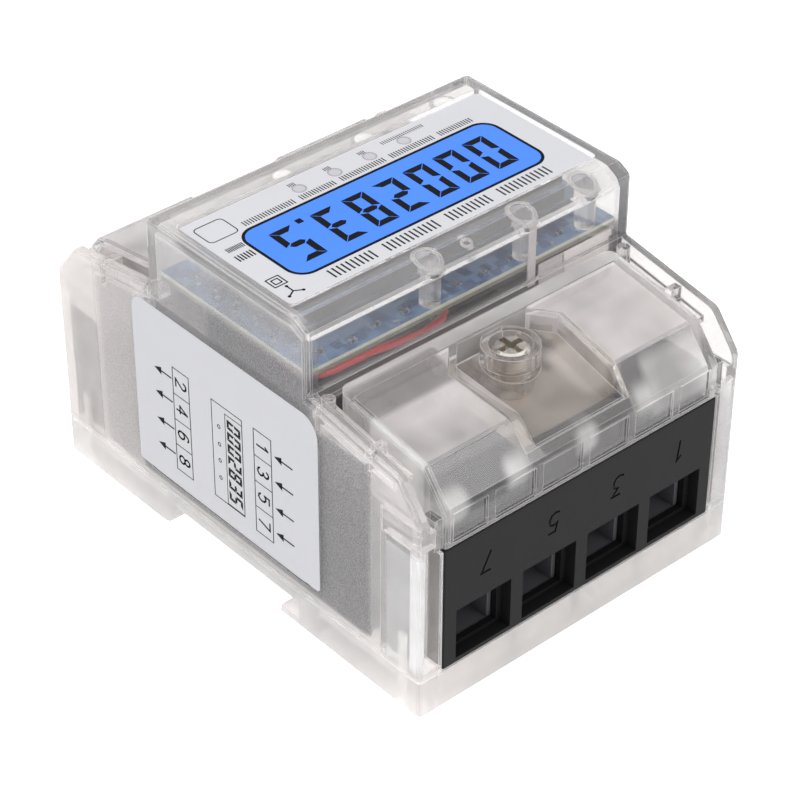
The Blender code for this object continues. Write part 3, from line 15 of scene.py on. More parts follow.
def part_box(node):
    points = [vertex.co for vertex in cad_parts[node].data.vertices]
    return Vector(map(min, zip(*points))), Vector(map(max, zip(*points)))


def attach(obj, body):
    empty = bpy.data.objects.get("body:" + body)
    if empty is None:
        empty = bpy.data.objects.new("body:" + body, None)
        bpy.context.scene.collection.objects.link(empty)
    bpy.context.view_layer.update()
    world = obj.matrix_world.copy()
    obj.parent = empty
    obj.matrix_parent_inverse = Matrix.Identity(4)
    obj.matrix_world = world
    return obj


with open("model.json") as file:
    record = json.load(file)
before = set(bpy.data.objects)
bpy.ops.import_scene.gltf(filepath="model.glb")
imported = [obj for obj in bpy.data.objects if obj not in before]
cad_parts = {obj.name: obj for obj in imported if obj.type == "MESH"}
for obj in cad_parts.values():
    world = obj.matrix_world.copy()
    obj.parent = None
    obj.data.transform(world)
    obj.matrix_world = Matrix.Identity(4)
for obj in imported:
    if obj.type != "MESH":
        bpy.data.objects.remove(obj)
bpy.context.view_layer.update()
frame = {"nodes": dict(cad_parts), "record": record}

MM = 0.001
NODES = frame["nodes"]


def corners(node):
    """Lowest and highest corner of a CAD node in millimetres."""
    low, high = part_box(node)
    return np.array(low) / MM, np.array(high) / MM


# Camera

CAMERA_PLACE = (-265.9, -302.8, 322.9)
CAMERA_AZIMUTH = math.radians(-41.514)
CAMERA_ELEVATION = math.radians(36.852)
CAMERA_ROLL = math.radians(0.249)
FOCAL_PIXELS = 2746.6
FRAME_PIXELS = 800
# Light crosses many clear walls, twice each, before it reaches the parts inside.
CLEAR_WALL_BOUNCES = 24


def place_camera():
    """Right, up and back axes from azimuth, elevation and roll; the lens from the focal length."""
    flat = math.cos(CAMERA_ELEVATION)
    back = Vector((math.sin(CAMERA_AZIMUTH) * flat, -math.cos(CAMERA_AZIMUTH) * flat,
                   math.sin(CAMERA_ELEVATION)))
    right = Vector((0, 0, 1)).cross(back).normalized()
    up = back.cross(right)
    rolled_right = math.cos(CAMERA_ROLL) * right + math.sin(CAMERA_ROLL) * up
    rolled_up = math.cos(CAMERA_ROLL) * up - math.sin(CAMERA_ROLL) * right
    data = bpy.data.cameras.new("camera")
    data.sensor_width = 36.0
    data.lens = FOCAL_PIXELS * data.sensor_width / FRAME_PIXELS
    data.clip_start = 0.01
    data.clip_end = 20.0
    camera = bpy.data.objects.new("camera", data)
    turn = Matrix((rolled_right, rolled_up, back)).transposed()
    camera.matrix_world = Matrix.Translation(Vector(CAMERA_PLACE) * MM) @ turn.to_4x4()
    bpy.context.scene.collection.objects.link(camera)
    bpy.context.scene.camera = camera


# Colours and nodes

def linear(code):
    """An sRGB hex colour as linear numbers."""
    out = []
    for i in (0, 2, 4):
        value = int(code[i:i + 2], 16) / 255
        out.append(value / 12.92 if value <= 0.04045 else ((value + 0.055) / 1.055) ** 2.4)
    return (*out, 1.0)


def add(tree, kind, links=None, **settings):
    """Adds a node: links fill its sockets by name or number with a value or another socket."""
    made = tree.nodes.new("ShaderNode" + kind)
    for key, value in settings.items():
        setattr(made, key, value)
    for key, value in (links or {}).items():
        socket = made.inputs[key]
        if isinstance(value, bpy.types.NodeSocket):
            tree.links.new(value, socket)
        else:
            socket.default_value = value
    return made


# Lamps and floor

# Soft boxes: name, place and size in metres, power in watts. All are aimed at the middle of the meter.
SOFT_BOXES = [
    ("overhead_box", (-0.15, 0.12, 0.85), (0.7, 0.5), 3.5),
    ("left_box", (-0.75, -0.10, 0.40), (0.35, 0.5), 1.2),
    ("front_box", (0.25, -0.75, 0.45), (0.5, 0.3), 1.2),
]
METER_MIDDLE = (0, 0, 0.03)
FILL_STRENGTH = 0.45
FLOOR_REACH = 4.0
FLOOR_DROP = 0.0004
FLOOR_OWN_LIGHT = 0.62


def hang_soft_box(name, place, size, power):
    """A rectangular lamp turned so that its face looks at the middle of the meter."""
    data = bpy.data.lights.new(name, "AREA")
    data.shape = "RECTANGLE"
    data.size, data.size_y = size
    data.energy = power
    lamp = bpy.data.objects.new(name, data)
    lamp.location = place
    lamp.rotation_euler = (Vector(METER_MIDDLE) - Vector(place)).to_track_quat("-Z", "Y").to_euler()
    bpy.context.scene.collection.objects.link(lamp)


def looked_at(tree):
    """One where the eye looks straight, by a reflection or through the clear case; nought for fill."""
    ray = add(tree, "LightPath")
    seen = add(tree, "Math", {0: ray.outputs["Is Camera Ray"], 1: ray.outputs["Is Glossy Ray"]},
               operation="MAXIMUM")
    return add(tree, "Math", {0: seen.outputs[0], 1: ray.outputs["Is Transmission Ray"]},
               operation="MAXIMUM").outputs[0]


def light_the_set():
    """A pale world for the fill, a large soft box overhead and smaller ones at the left and in front."""
    world = bpy.data.worlds.new("studio")
    bpy.context.scene.world = world
    world.use_nodes = True
    tree = world.node_tree
    tree.nodes.clear()
    fill = add(tree, "Background", {"Color": linear("F4F5F8"), "Strength": FILL_STRENGTH})
    white = add(tree, "Background", {"Color": linear("FFFFFF"), "Strength": 1.0})
    mixed = add(tree, "MixShader", {0: looked_at(tree), 1: fill.outputs[0], 2: white.outputs[0]})
    add(tree, "OutputWorld", {0: mixed.outputs[0]})
    for name, place, size, power in SOFT_BOXES:
        hang_soft_box(name, place, size, power)


def lay_floor():
    """A wide white sheet: a lit surface plus its own light for the camera, so only the shadow shows."""
    mesh = bpy.data.meshes.new("floor")
    signs = ((-1, -1), (1, -1), (1, 1), (-1, 1))
    mesh.from_pydata([(x * FLOOR_REACH, y * FLOOR_REACH, -FLOOR_DROP) for x, y in signs], [],
                     [(0, 1, 2, 3)])
    floor = bpy.data.objects.new("floor", mesh)
    bpy.context.scene.collection.objects.link(floor)
    finish = bpy.data.materials.new("white paper sweep")
    finish.use_nodes = True
    tree = finish.node_tree
    tree.nodes.clear()
    lit = add(tree, "BsdfDiffuse", {"Color": linear("F7F7F7")})
    own = add(tree, "Emission", {"Color": linear("FFFFFF"), "Strength": FLOOR_OWN_LIGHT})
    both = add(tree, "AddShader", {0: lit.outputs[0], 1: own.outputs[0]})
    mixed = add(tree, "MixShader", {0: looked_at(tree), 1: lit.outputs[0], 2: both.outputs[0]})
    add(tree, "OutputMaterial", {0: mixed.outputs[0]})
    mesh.materials.append(finish)


# Materials

def new_material(name):
    """An empty material and its node tree."""
    finish = bpy.data.materials.new(name)
    finish.use_nodes = True
    finish.node_tree.nodes.clear()
    return finish, finish.node_tree


def zone(tree, place, low, high, soft):
    """One inside a box given in millimetres, falling to nought over soft outside it.

    The distance to the box is the length of the parts of the three distances past its faces that are
    above nought, so the fall is round at its corners. It is mapped through a smooth step.
    """
    low, high = np.array(low, float), np.array(high, float)
    from_middle = add(tree, "VectorMath", {0: place, 1: tuple((low + high) / 2)}, operation="SUBTRACT")
    away = add(tree, "VectorMath", {0: from_middle.outputs[0]}, operation="ABSOLUTE")
    past = add(tree, "VectorMath", {0: away.outputs[0], 1: tuple((high - low) / 2)}, operation="SUBTRACT")
    outside = add(tree, "VectorMath", {0: past.outputs[0], 1: (0, 0, 0)}, operation="MAXIMUM")
    distance = add(tree, "VectorMath", {0: outside.outputs[0]}, operation="LENGTH")
    return add(tree, "MapRange", {0: distance.outputs["Value"], 1: 0.0, 2: soft, 3: 1.0, 4: 0.0},
               interpolation_type="SMOOTHSTEP").outputs[0]


POLYCARBONATE_IOR = 1.58
EDGE_ROUNDING = 0.22
CLOUD_MM = 9.0


def clear_polycarbonate(name, polished, etched, zones, one_sided, middle, grain_mm=0.28, grain_share=0.2,
                        cloud=0.12):
    """Clear moulded polycarbonate: polished outside, spark-etched inside, with rounded bright edges.

    Most of the light is bent through as in glass and a share of it, the haze, is scattered as milk. A
    face whose true normal looks away from middle is polished, the others are etched. polished and
    etched are (haze, milk colour, roughness). Each zone is a box (absolute X, Y, Z in millimetres) with
    its own three values for the etched faces, a haze for the polished ones and a share of the grain;
    their milk colours and hazes paint the light and shade of each region. The one_sided zones take X
    with its sign. Edges come from the angle between the face normal and the normal of a small
    rounding; there the haze rises and the milk turns white, a painted highlight. The real etch is
    about 0.05 mm; grain_mm draws it coarser, so that it shows.
    """
    finish, tree = new_material(name)
    raw = add(tree, "TexCoord").outputs["Object"]
    place = add(tree, "VectorMath", {0: raw, "Scale": 1 / MM}, operation="SCALE").outputs[0]
    axes = add(tree, "SeparateXYZ", {0: place})
    width = add(tree, "Math", {0: axes.outputs[0]}, operation="ABSOLUTE")
    folded = add(tree, "CombineXYZ", {0: width.outputs[0], 1: axes.outputs[1],
                                      2: axes.outputs[2]}).outputs[0]
    fine = add(tree, "TexNoise", {"Vector": place, "Scale": 1 / grain_mm, "Detail": 2.0})
    slow = add(tree, "TexNoise", {"Vector": place, "Scale": 1 / CLOUD_MM, "Detail": 1.0})

    face = add(tree, "NewGeometry")
    flip = add(tree, "MapRange", {0: face.outputs["Backfacing"], 3: 1.0, 4: -1.0})
    outward = add(tree, "VectorMath", {0: place, 1: middle}, operation="SUBTRACT")
    outward = add(tree, "VectorMath", {0: outward.outputs[0], 1: face.outputs["Normal"]},
                  operation="DOT_PRODUCT")
    outward = add(tree, "Math", {0: outward.outputs["Value"], 1: flip.outputs[0]}, operation="MULTIPLY")
    inner = add(tree, "Math", {0: outward.outputs[0], 1: 0.0}, operation="LESS_THAN").outputs[0]

    share = add(tree, "Mix", {0: inner, 2: polished[0], 3: etched[0]}, data_type="FLOAT").outputs[0]
    colour = add(tree, "Mix", {0: inner, 6: linear(polished[1]), 7: linear(etched[1])},
                 data_type="RGBA").outputs[2]
    rough = add(tree, "Mix", {0: inner, 2: polished[2], 3: etched[2]}, data_type="FLOAT").outputs[0]
    rub = grain_share
    boxes = [(folded, *box) for box in zones] + [(place, *box) for box in one_sided]
    # Each zone paints its milk colour and haze: the light and shade of that region.
    for point, low, high, soft, zone_haze, zone_milk, zone_rough, outer_haze, zone_grain in boxes:
        inside = zone(tree, point, low, high, soft)
        there = add(tree, "Mix", {0: inner, 2: outer_haze, 3: zone_haze}, data_type="FLOAT")
        share = add(tree, "Mix", {0: inside, 2: share, 3: there.outputs[0]},
                    data_type="FLOAT").outputs[0]
        colour = add(tree, "Mix", {0: inside, 6: colour, 7: linear(zone_milk)},
                     data_type="RGBA").outputs[2]
        etched_there = add(tree, "Math", {0: inside, 1: inner}, operation="MULTIPLY")
        rough = add(tree, "Mix", {0: etched_there.outputs[0], 2: rough, 3: zone_rough},
                    data_type="FLOAT").outputs[0]
        rub = add(tree, "Mix", {0: inside, 2: rub, 3: zone_grain}, data_type="FLOAT").outputs[0]

    grain = add(tree, "MapRange", {0: fine.outputs[0], 1: 0.38, 2: 0.62, 3: -1.0, 4: 1.0})
    grain = add(tree, "Math", {0: grain.outputs[0], 1: inner}, operation="MULTIPLY")
    grain = add(tree, "Math", {0: grain.outputs[0], 1: rub}, operation="MULTIPLY").outputs[0]
    drift = add(tree, "MapRange", {0: slow.outputs[0], 1: 0.3, 2: 0.7, 3: 1 - cloud, 4: 1 + cloud})
    share = add(tree, "Math", {0: share, 1: drift.outputs[0]}, operation="MULTIPLY").outputs[0]
    tone = add(tree, "MapRange", {0: grain, 1: -1.0, 2: 1.0, 3: 0.48, 4: 1.52})
    colour = add(tree, "VectorMath", {0: colour, "Scale": tone.outputs[0]},
                 operation="SCALE").outputs[0]

    # Painted highlight along the edges: there the haze rises and the milk turns white.
    rounding = add(tree, "Bevel", {"Radius": EDGE_ROUNDING * MM}, samples=4).outputs[0]
    same = add(tree, "VectorMath", {0: rounding, 1: face.outputs["Normal"]}, operation="DOT_PRODUCT")
    edge = add(tree, "MapRange", {0: same.outputs["Value"], 1: 0.995, 2: 0.93, 3: 0.0, 4: 0.88})
    share = add(tree, "Math", {0: share, 1: edge.outputs[0]}, operation="MAXIMUM",
                use_clamp=True).outputs[0]
    colour = add(tree, "Mix", {0: edge.outputs[0], 6: colour, 7: linear("FFFFFF")},
                 data_type="RGBA").outputs[2]

    bump = add(tree, "Bump", {"Strength": 0.2, "Distance": 0.00006, "Height": grain, "Normal": rounding})
    lit = add(tree, "BsdfPrincipled", {"Base Color": colour, "Roughness": 0.30, "IOR": POLYCARBONATE_IOR,
                                       "Normal": bump.outputs[0]})
    behind = add(tree, "BsdfTranslucent", {"Color": colour})
    milky = add(tree, "MixShader", {0: 0.3, 1: lit.outputs[0], 2: behind.outputs[0]})
    bend = add(tree, "BsdfPrincipled", {"Base Color": linear("FCFAF9"), "Roughness": rough,
                                        "IOR": POLYCARBONATE_IOR, "Transmission Weight": 1.0,
                                        "Normal": rounding})
    body = add(tree, "MixShader", {0: share, 1: bend.outputs[0], 2: milky.outputs[0]})
    ray = add(tree, "LightPath")
    pass_on = add(tree, "BsdfTransparent", {"Color": linear("F6F4F3")})
    whole = add(tree, "MixShader", {0: ray.outputs["Is Shadow Ray"], 1: body.outputs[0],
                                    2: pass_on.outputs[0]})
    add(tree, "OutputMaterial", {0: whole.outputs[0]})
    return finish


# Size of the slow change of colour in a moulding, and of the tool marks and stains on metal. The marks are
# drawn coarser than the real ones, which are under 0.1 mm, so that they show.
STAIN_MM = 9
MARK_MM = 0.25
METAL_STAIN_MM = 3


def moulded_plastic(name, colour, roughness, grain_mm=0.4, relief=0.05, variation=0.06, gloss=0.5):
    """Opaque moulded plastic: a spark-eroded grain, drawn coarse enough to show, and a faint stain."""
    finish, tree = new_material(name)
    place = add(tree, "TexCoord").outputs["Object"]
    fine = add(tree, "TexNoise", {"Vector": place, "Scale": 1 / (grain_mm * MM), "Detail": 2.0})
    slow = add(tree, "TexNoise", {"Vector": place, "Scale": 1 / (STAIN_MM * MM), "Detail": 2.0})
    base = linear(colour)
    dark = tuple(c * (1 - variation) for c in base[:3]) + (1.0,)
    pale = tuple(min(1.0, c * (1 + variation)) for c in base[:3]) + (1.0,)
    shade = add(tree, "Mix", {0: slow.outputs[0], 6: dark, 7: pale}, data_type="RGBA")
    bump = add(tree, "Bump", {"Strength": relief, "Distance": 0.0002, "Height": fine.outputs[0]})
    rough = add(tree, "MapRange", {0: fine.outputs[0], 3: roughness - 0.05, 4: roughness + 0.08})
    skin = add(tree, "BsdfPrincipled", {
        "Base Color": shade.outputs[2], "Roughness": rough.outputs[0], "Normal": bump.outputs[0],
        "Specular IOR Level": gloss})
    add(tree, "OutputMaterial", {0: skin.outputs[0]})
    return finish


def plated_metal(name, colour, roughness):
    """Bright plated or turned metal: fine tool marks and small stains change how sharply it mirrors."""
    finish, tree = new_material(name)
    place = add(tree, "TexCoord").outputs["Object"]
    marks = add(tree, "TexNoise", {"Vector": place, "Scale": 1 / (MARK_MM * MM), "Detail": 3.0})
    stains = add(tree, "TexNoise", {"Vector": place, "Scale": 1 / (METAL_STAIN_MM * MM), "Detail": 2.0})
    rough = add(tree, "MapRange", {0: stains.outputs[0], 3: roughness - 0.06, 4: roughness + 0.1})
    base = linear(colour)
    dark = tuple(c * 0.8 for c in base[:3]) + (1.0,)
    shade = add(tree, "Mix", {0: stains.outputs[0], 6: dark, 7: base}, data_type="RGBA")
    bump = add(tree, "Bump", {"Strength": 0.1, "Distance": 0.00005, "Height": marks.outputs[0]})
    skin = add(tree, "BsdfPrincipled", {
        "Base Color": shade.outputs[2], "Metallic": 1.0, "Roughness": rough.outputs[0],
        "Normal": bump.outputs[0]})
    add(tree, "OutputMaterial", {0: skin.outputs[0]})
    return finish


def nickel_screw_head(seat_y, top_z):
    """Bright nickel; the pressed cross recess is rougher, and painted a little darker as painted shade.

    The recess is what lies under the rim, inside a 2.5 mm circle round the axes of the two heads, which
    stand at plus and minus seat_y.
    """
    finish, tree = new_material("bright nickel-plated screw head")
    raw = add(tree, "TexCoord").outputs["Object"]
    place = add(tree, "VectorMath", {0: raw, "Scale": 1 / MM}, operation="SCALE").outputs[0]
    axes = add(tree, "SeparateXYZ", {0: place})
    along = add(tree, "Math", {0: axes.outputs[1]}, operation="ABSOLUTE")
    along = add(tree, "Math", {0: along.outputs[0], 1: seat_y}, operation="SUBTRACT")
    flat = add(tree, "CombineXYZ", {0: axes.outputs[0], 1: along.outputs[0]})
    away = add(tree, "VectorMath", {0: flat.outputs[0]}, operation="LENGTH")
    near = add(tree, "MapRange", {0: away.outputs["Value"], 1: 2.3, 2: 2.6, 3: 1.0, 4: 0.0})
    low = add(tree, "MapRange", {0: axes.outputs[2], 1: top_z - 0.10, 2: top_z - 0.45})
    deep = add(tree, "Math", {0: near.outputs[0], 1: low.outputs[0]}, operation="MULTIPLY")
    stains = add(tree, "TexNoise", {"Vector": place, "Scale": 1 / 1.2, "Detail": 2.0})
    bright = add(tree, "Mix", {0: stains.outputs[0], 6: linear("CFC9C0"), 7: linear("F2EFE9")},
                 data_type="RGBA")
    # Painted shade: the recess is painted a darker grey.
    shade = add(tree, "Mix", {0: deep.outputs[0], 6: bright.outputs[2], 7: linear("B2ABA0")},
                data_type="RGBA")
    rough = add(tree, "MapRange", {0: stains.outputs[0], 3: 0.12, 4: 0.28})
    rough = add(tree, "Mix", {0: deep.outputs[0], 2: rough.outputs[0], 3: 0.6}, data_type="FLOAT")
    skin = add(tree, "BsdfPrincipled", {"Base Color": shade.outputs[2], "Metallic": 1.0,
                                        "Roughness": rough.outputs[0]})
    add(tree, "OutputMaterial", {0: skin.outputs[0]})
    return finish


def backlit_glass():
    """Blue segment display: an even blue light behind satin glass, with blackened sides."""
    finish, tree = new_material("backlit blue display glass")
    place = add(tree, "TexCoord").outputs["Object"]
    slow = add(tree, "TexNoise", {"Vector": place, "Scale": 1 / (20 * MM), "Detail": 0.0})
    tone = add(tree, "Mix", {0: slow.outputs[0], 6: linear("2F78F5"), 7: linear("3C82FA")},
               data_type="RGBA")
    normal = add(tree, "SeparateXYZ", {0: add(tree, "NewGeometry").outputs["Normal"]})
    front = add(tree, "Math", {0: normal.outputs[2], 1: 0.5}, operation="GREATER_THAN")
    shade = add(tree, "Mix", {0: front.outputs[0], 6: linear("34363C"), 7: tone.outputs[2]},
                data_type="RGBA")
    skin = add(tree, "BsdfPrincipled", {
        "Base Color": shade.outputs[2], "Roughness": 0.35, "Emission Color": shade.outputs[2],
        "Emission Strength": 0.28})
    add(tree, "OutputMaterial", {0: skin.outputs[0]})
    return finish


TRACK_CELL_MM = 2.4


def solder_resist():
    """Blue solder resist on a glass laminate: pale copper tracks show through the faces.

    The tracks are the borders of square cells; the cut edge is pale green at its top and painted darker
    below, a painted shade.
    """
    board_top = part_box("main_board")[1][2]
    finish, tree = new_material("blue solder resist on glass laminate")
    place = add(tree, "TexCoord").outputs["Object"]
    cells = add(tree, "TexVoronoi", {"Vector": place, "Scale": 1 / (TRACK_CELL_MM * MM)},
                distance="CHEBYCHEV", feature="F1")
    tracks = add(tree, "Math", {0: cells.outputs["Distance"], 1: 0.42}, operation="GREATER_THAN")
    face = add(tree, "Mix", {0: tracks.outputs[0], 6: linear("3C5577"), 7: linear("5A7798")},
               data_type="RGBA")
    normal = add(tree, "SeparateXYZ", {0: add(tree, "NewGeometry").outputs["Normal"]})
    upright = add(tree, "Math", {0: normal.outputs[2]}, operation="ABSOLUTE")
    is_face = add(tree, "Math", {0: upright.outputs[0], 1: 0.5}, operation="GREATER_THAN")
    height = add(tree, "SeparateXYZ", {0: place}).outputs[2]
    # Painted shade: the cut edge is darker below its top.
    lower = add(tree, "MapRange", {0: height, 1: board_top - 0.6 * MM, 2: board_top - 0.9 * MM})
    edge = add(tree, "Mix", {0: lower.outputs[0], 6: linear("C2C8BA"), 7: linear("6E6C60")},
               data_type="RGBA")
    shade = add(tree, "Mix", {0: is_face.outputs[0], 6: edge.outputs[2], 7: face.outputs[2]},
                data_type="RGBA")
    skin = add(tree, "BsdfPrincipled", {"Base Color": shade.outputs[2], "Roughness": 0.35})
    add(tree, "OutputMaterial", {0: skin.outputs[0]})
    return finish


def printed_film(name, colour):
    """Printed polyester film: matt, with a faint orange-peel surface."""
    return moulded_plastic(name, colour, 0.45, grain_mm=0.8, relief=0.02, variation=0.02)


# Bosses of the roof: their places across, and their distance from the middle along the meter
REAR_BOSSES_X = (-9.9, 8.9, 28.0)
FRONT_BOSSES_X = (-7.8, 14.0, 28.9)
BOSS_Y = 17.6

# A zone is: low corner, high corner, width of its soft edge, haze of the etched faces, colour of their
# milk, roughness of the etched faces, haze of the polished faces and share of the grain. The milk
# colours and hazes are painted light and shade: grey where a region is shaded, near white where it is lit.
CASE_ZONES = [
    # Long side walls: up to the rear block, beside it, and at the rear pillars, going from painted grey
    # shade to painted light
    ((34.0, -36.5, 9.5), (38.0, 28.0, 45.5), 0.8, 0.92, "8E8C8E", 0.25, 0.10, 1.0),
    ((34.0, 28.0, 9.5), (38.0, 40.0, 48.0), 2.0, 0.84, "D6D2D1", 0.45, 0.15, 0.4),
    ((34.0, 39.0, 9.5), (38.0, 52.0, 48.0), 2.0, 0.86, "F6F2F0", 0.50, 0.38, 0.2),
    # Outer faces of the front pillars, in painted light
    ((34.0, -52.0, 9.0), (38.0, -41.8, 34.0), 0.8, 0.75, "FFFFFF", 0.20, 0.44, 0.1),
    # Side walls of the raised box, their foot in painted shade, and the strip along their top painted
    # white as a highlight
    ((33.5, -22.0, 46.5), (38.0, 22.0, 62.5), 0.8, 0.30, "CECCD0", 0.08, 0.07, 0.35),
    ((33.5, -20.5, 47.5), (38.0, 5.0, 53.8), 2.6, 0.78, "7E7C80", 0.12, 0.06, 1.0),
    ((34.0, -23.0, 63.8), (38.0, 23.0, 67.0), 0.5, 0.20, "FFFFFF", 0.02, 0.16, 0.0),
    # Front wall of the raised box under the board and above it, and the front strip of the roof
    ((0, -22.5, 47.0), (33.0, -17.0, 53.0), 0.6, 0.16, "DCD8DA", 0.02, 0.06, 0.0),
    ((0, -22.5, 53.0), (34.0, -13.0, 67.0), 0.6, 0.06, "D6D4D8", 0.01, 0.05, 0.0),
    ((0, -21.5, 62.5), (34.0, -13.0, 67.0), 0.4, 0.14, "ECEAEB", 0.01, 0.16, 0.0),
    # Rear strip of the roof, and its half next to the faceplate painted paler as a line of light
    ((0, 14.5, 60.0), (34.0, 24.0, 67.0), 0.5, 0.38, "F8F3F1", 0.03, 0.16, 0.0),
    ((0, 14.5, 65.0), (34.0, 19.3, 67.0), 0.3, 0.30, "FFFFFF", 0.03, 0.30, 0.0),
    # Base tray, and its front under the terminal block, in painted light: near white milk at a high haze
    ((0, -60, -1), (40, 60, 8.5), 0.5, 0.72, "FFFDFC", 0.10, 0.48, 0.0),
    ((0, -52, -1), (33, -44, 8.5), 0.5, 0.92, "FFFCFA", 0.10, 0.72, 0.0),
]
# Bosses that hang from the roof's front strip, painted white as their bright highlights
FRONT_BOSS_HIGHLIGHT_ZONES = [((x - 2.2, -19.1, 54.5), (x + 2.2, -15.4, 62.6), 0.4, 0.26, "FFFFFF", 0.02, 0.20,
                     0.0) for x in FRONT_BOSSES_X]
COVER_ZONES = [
    # Sloping top at both sides of the sealing recess
    ((12.8, -43.6, 44.0), (31.2, -31.8, 53.0), 1.8, 0.60, "EAE6E7", 0.20, 0.08, 0.1),
    # Row of front panes, and the fold above them, in painted grey shade, darker on the fold
    ((0, -60, 30), (34, -41.0, 40.3), 0.4, 0.35, "A8A6A9", 0.12, 0.06, 0.1),
    ((0, -60, 40.4), (31, -43.3, 47.7), 0.5, 0.38, "8A888C", 0.10, 0.05, 0.1),
    # Floor of the sealing recess, the fold in front of it in painted shade, and the painted shade right of
    # the screw
    ((0, -52.0, 38.0), (12.3, -25.0, 47.3), 0.3, 0.44, "CBC1B7", 0.12, 0.05, 0.1),
    ((0, -52.0, 36.0), (11.6, -46.0, 45.6), 0.6, 0.55, "767173", 0.12, 0.05, 0.1),
    ((4.8, -34.5, 38.0), (9.4, -25.0, 47.3), 1.5, 0.55, "8A827E", 0.12, 0.05, 0.1),
    # Collar of the sealing screw: the clearest part
    ((0, -37.0, 46.6), (5.8, -24.8, 53.0), 0.3, 0.05, "F4F0F1", 0.01, 0.05, 0.0),
    # Outer ends of the top, and its rear rim, in painted light
    ((31.2, -46.0, 38.0), (36.0, -21.0, 52.5), 0.4, 0.75, "FFFFFF", 0.10, 0.55, 0.0),
    ((0, -25.3, 40.0), (31.5, -22.0, 53.0), 0.3, 0.60, "FFFFFF", 0.10, 0.34, 0.0),
]
COVER_ONE_SIDED = [
    # Shade at the rear of the left top, the shaded left fold, the lit right fold and recess
    ((-31.2, -30.4, 44.0), (-12.8, -25.2, 53.0), 1.6, 0.52, "928E90", 0.20, 0.08, 0.1),
    ((-31.5, -60, 38.5), (-12.5, -45.0, 47.7), 0.9, 0.78, "545256", 0.12, 0.05, 0.05),
    ((18.0, -60, 37.5), (32.5, -45.2, 47.7), 2.4, 0.66, "E4E2E2", 0.20, 0.08, 0.1),
    ((7.8, -42.0, 38.0), (11.6, -33.5, 48.6), 3.0, 0.60, "E4DCD6", 0.15, 0.08, 0.1),
    # Painted highlights along the fold: white milk in lit spots between the terminal screws
    ((27.9, -60, 39.8), (29.5, -44.0, 41.4), 3.0, 0.58, "FFFFFF", 0.20, 0.10, 0.1),
    ((14.2, -60, 39.8), (16.0, -44.0, 41.4), 3.0, 0.58, "FFFFFF", 0.20, 0.10, 0.1),
    ((-15.6, -60, 39.6), (-13.8, -44.0, 41.2), 2.9, 0.56, "FFFFFF", 0.20, 0.10, 0.1),
    ((-30.0, -60, 39.2), (-28.0, -44.0, 41.0), 3.0, 0.50, "FFFFFF", 0.20, 0.10, 0.1),
    ((0.2, -60, 38.6), (1.8, -44.0, 40.0), 2.8, 0.58, "FFFFFF", 0.20, 0.10, 0.1),
]
SEALING_SCREW_Y = 30.8


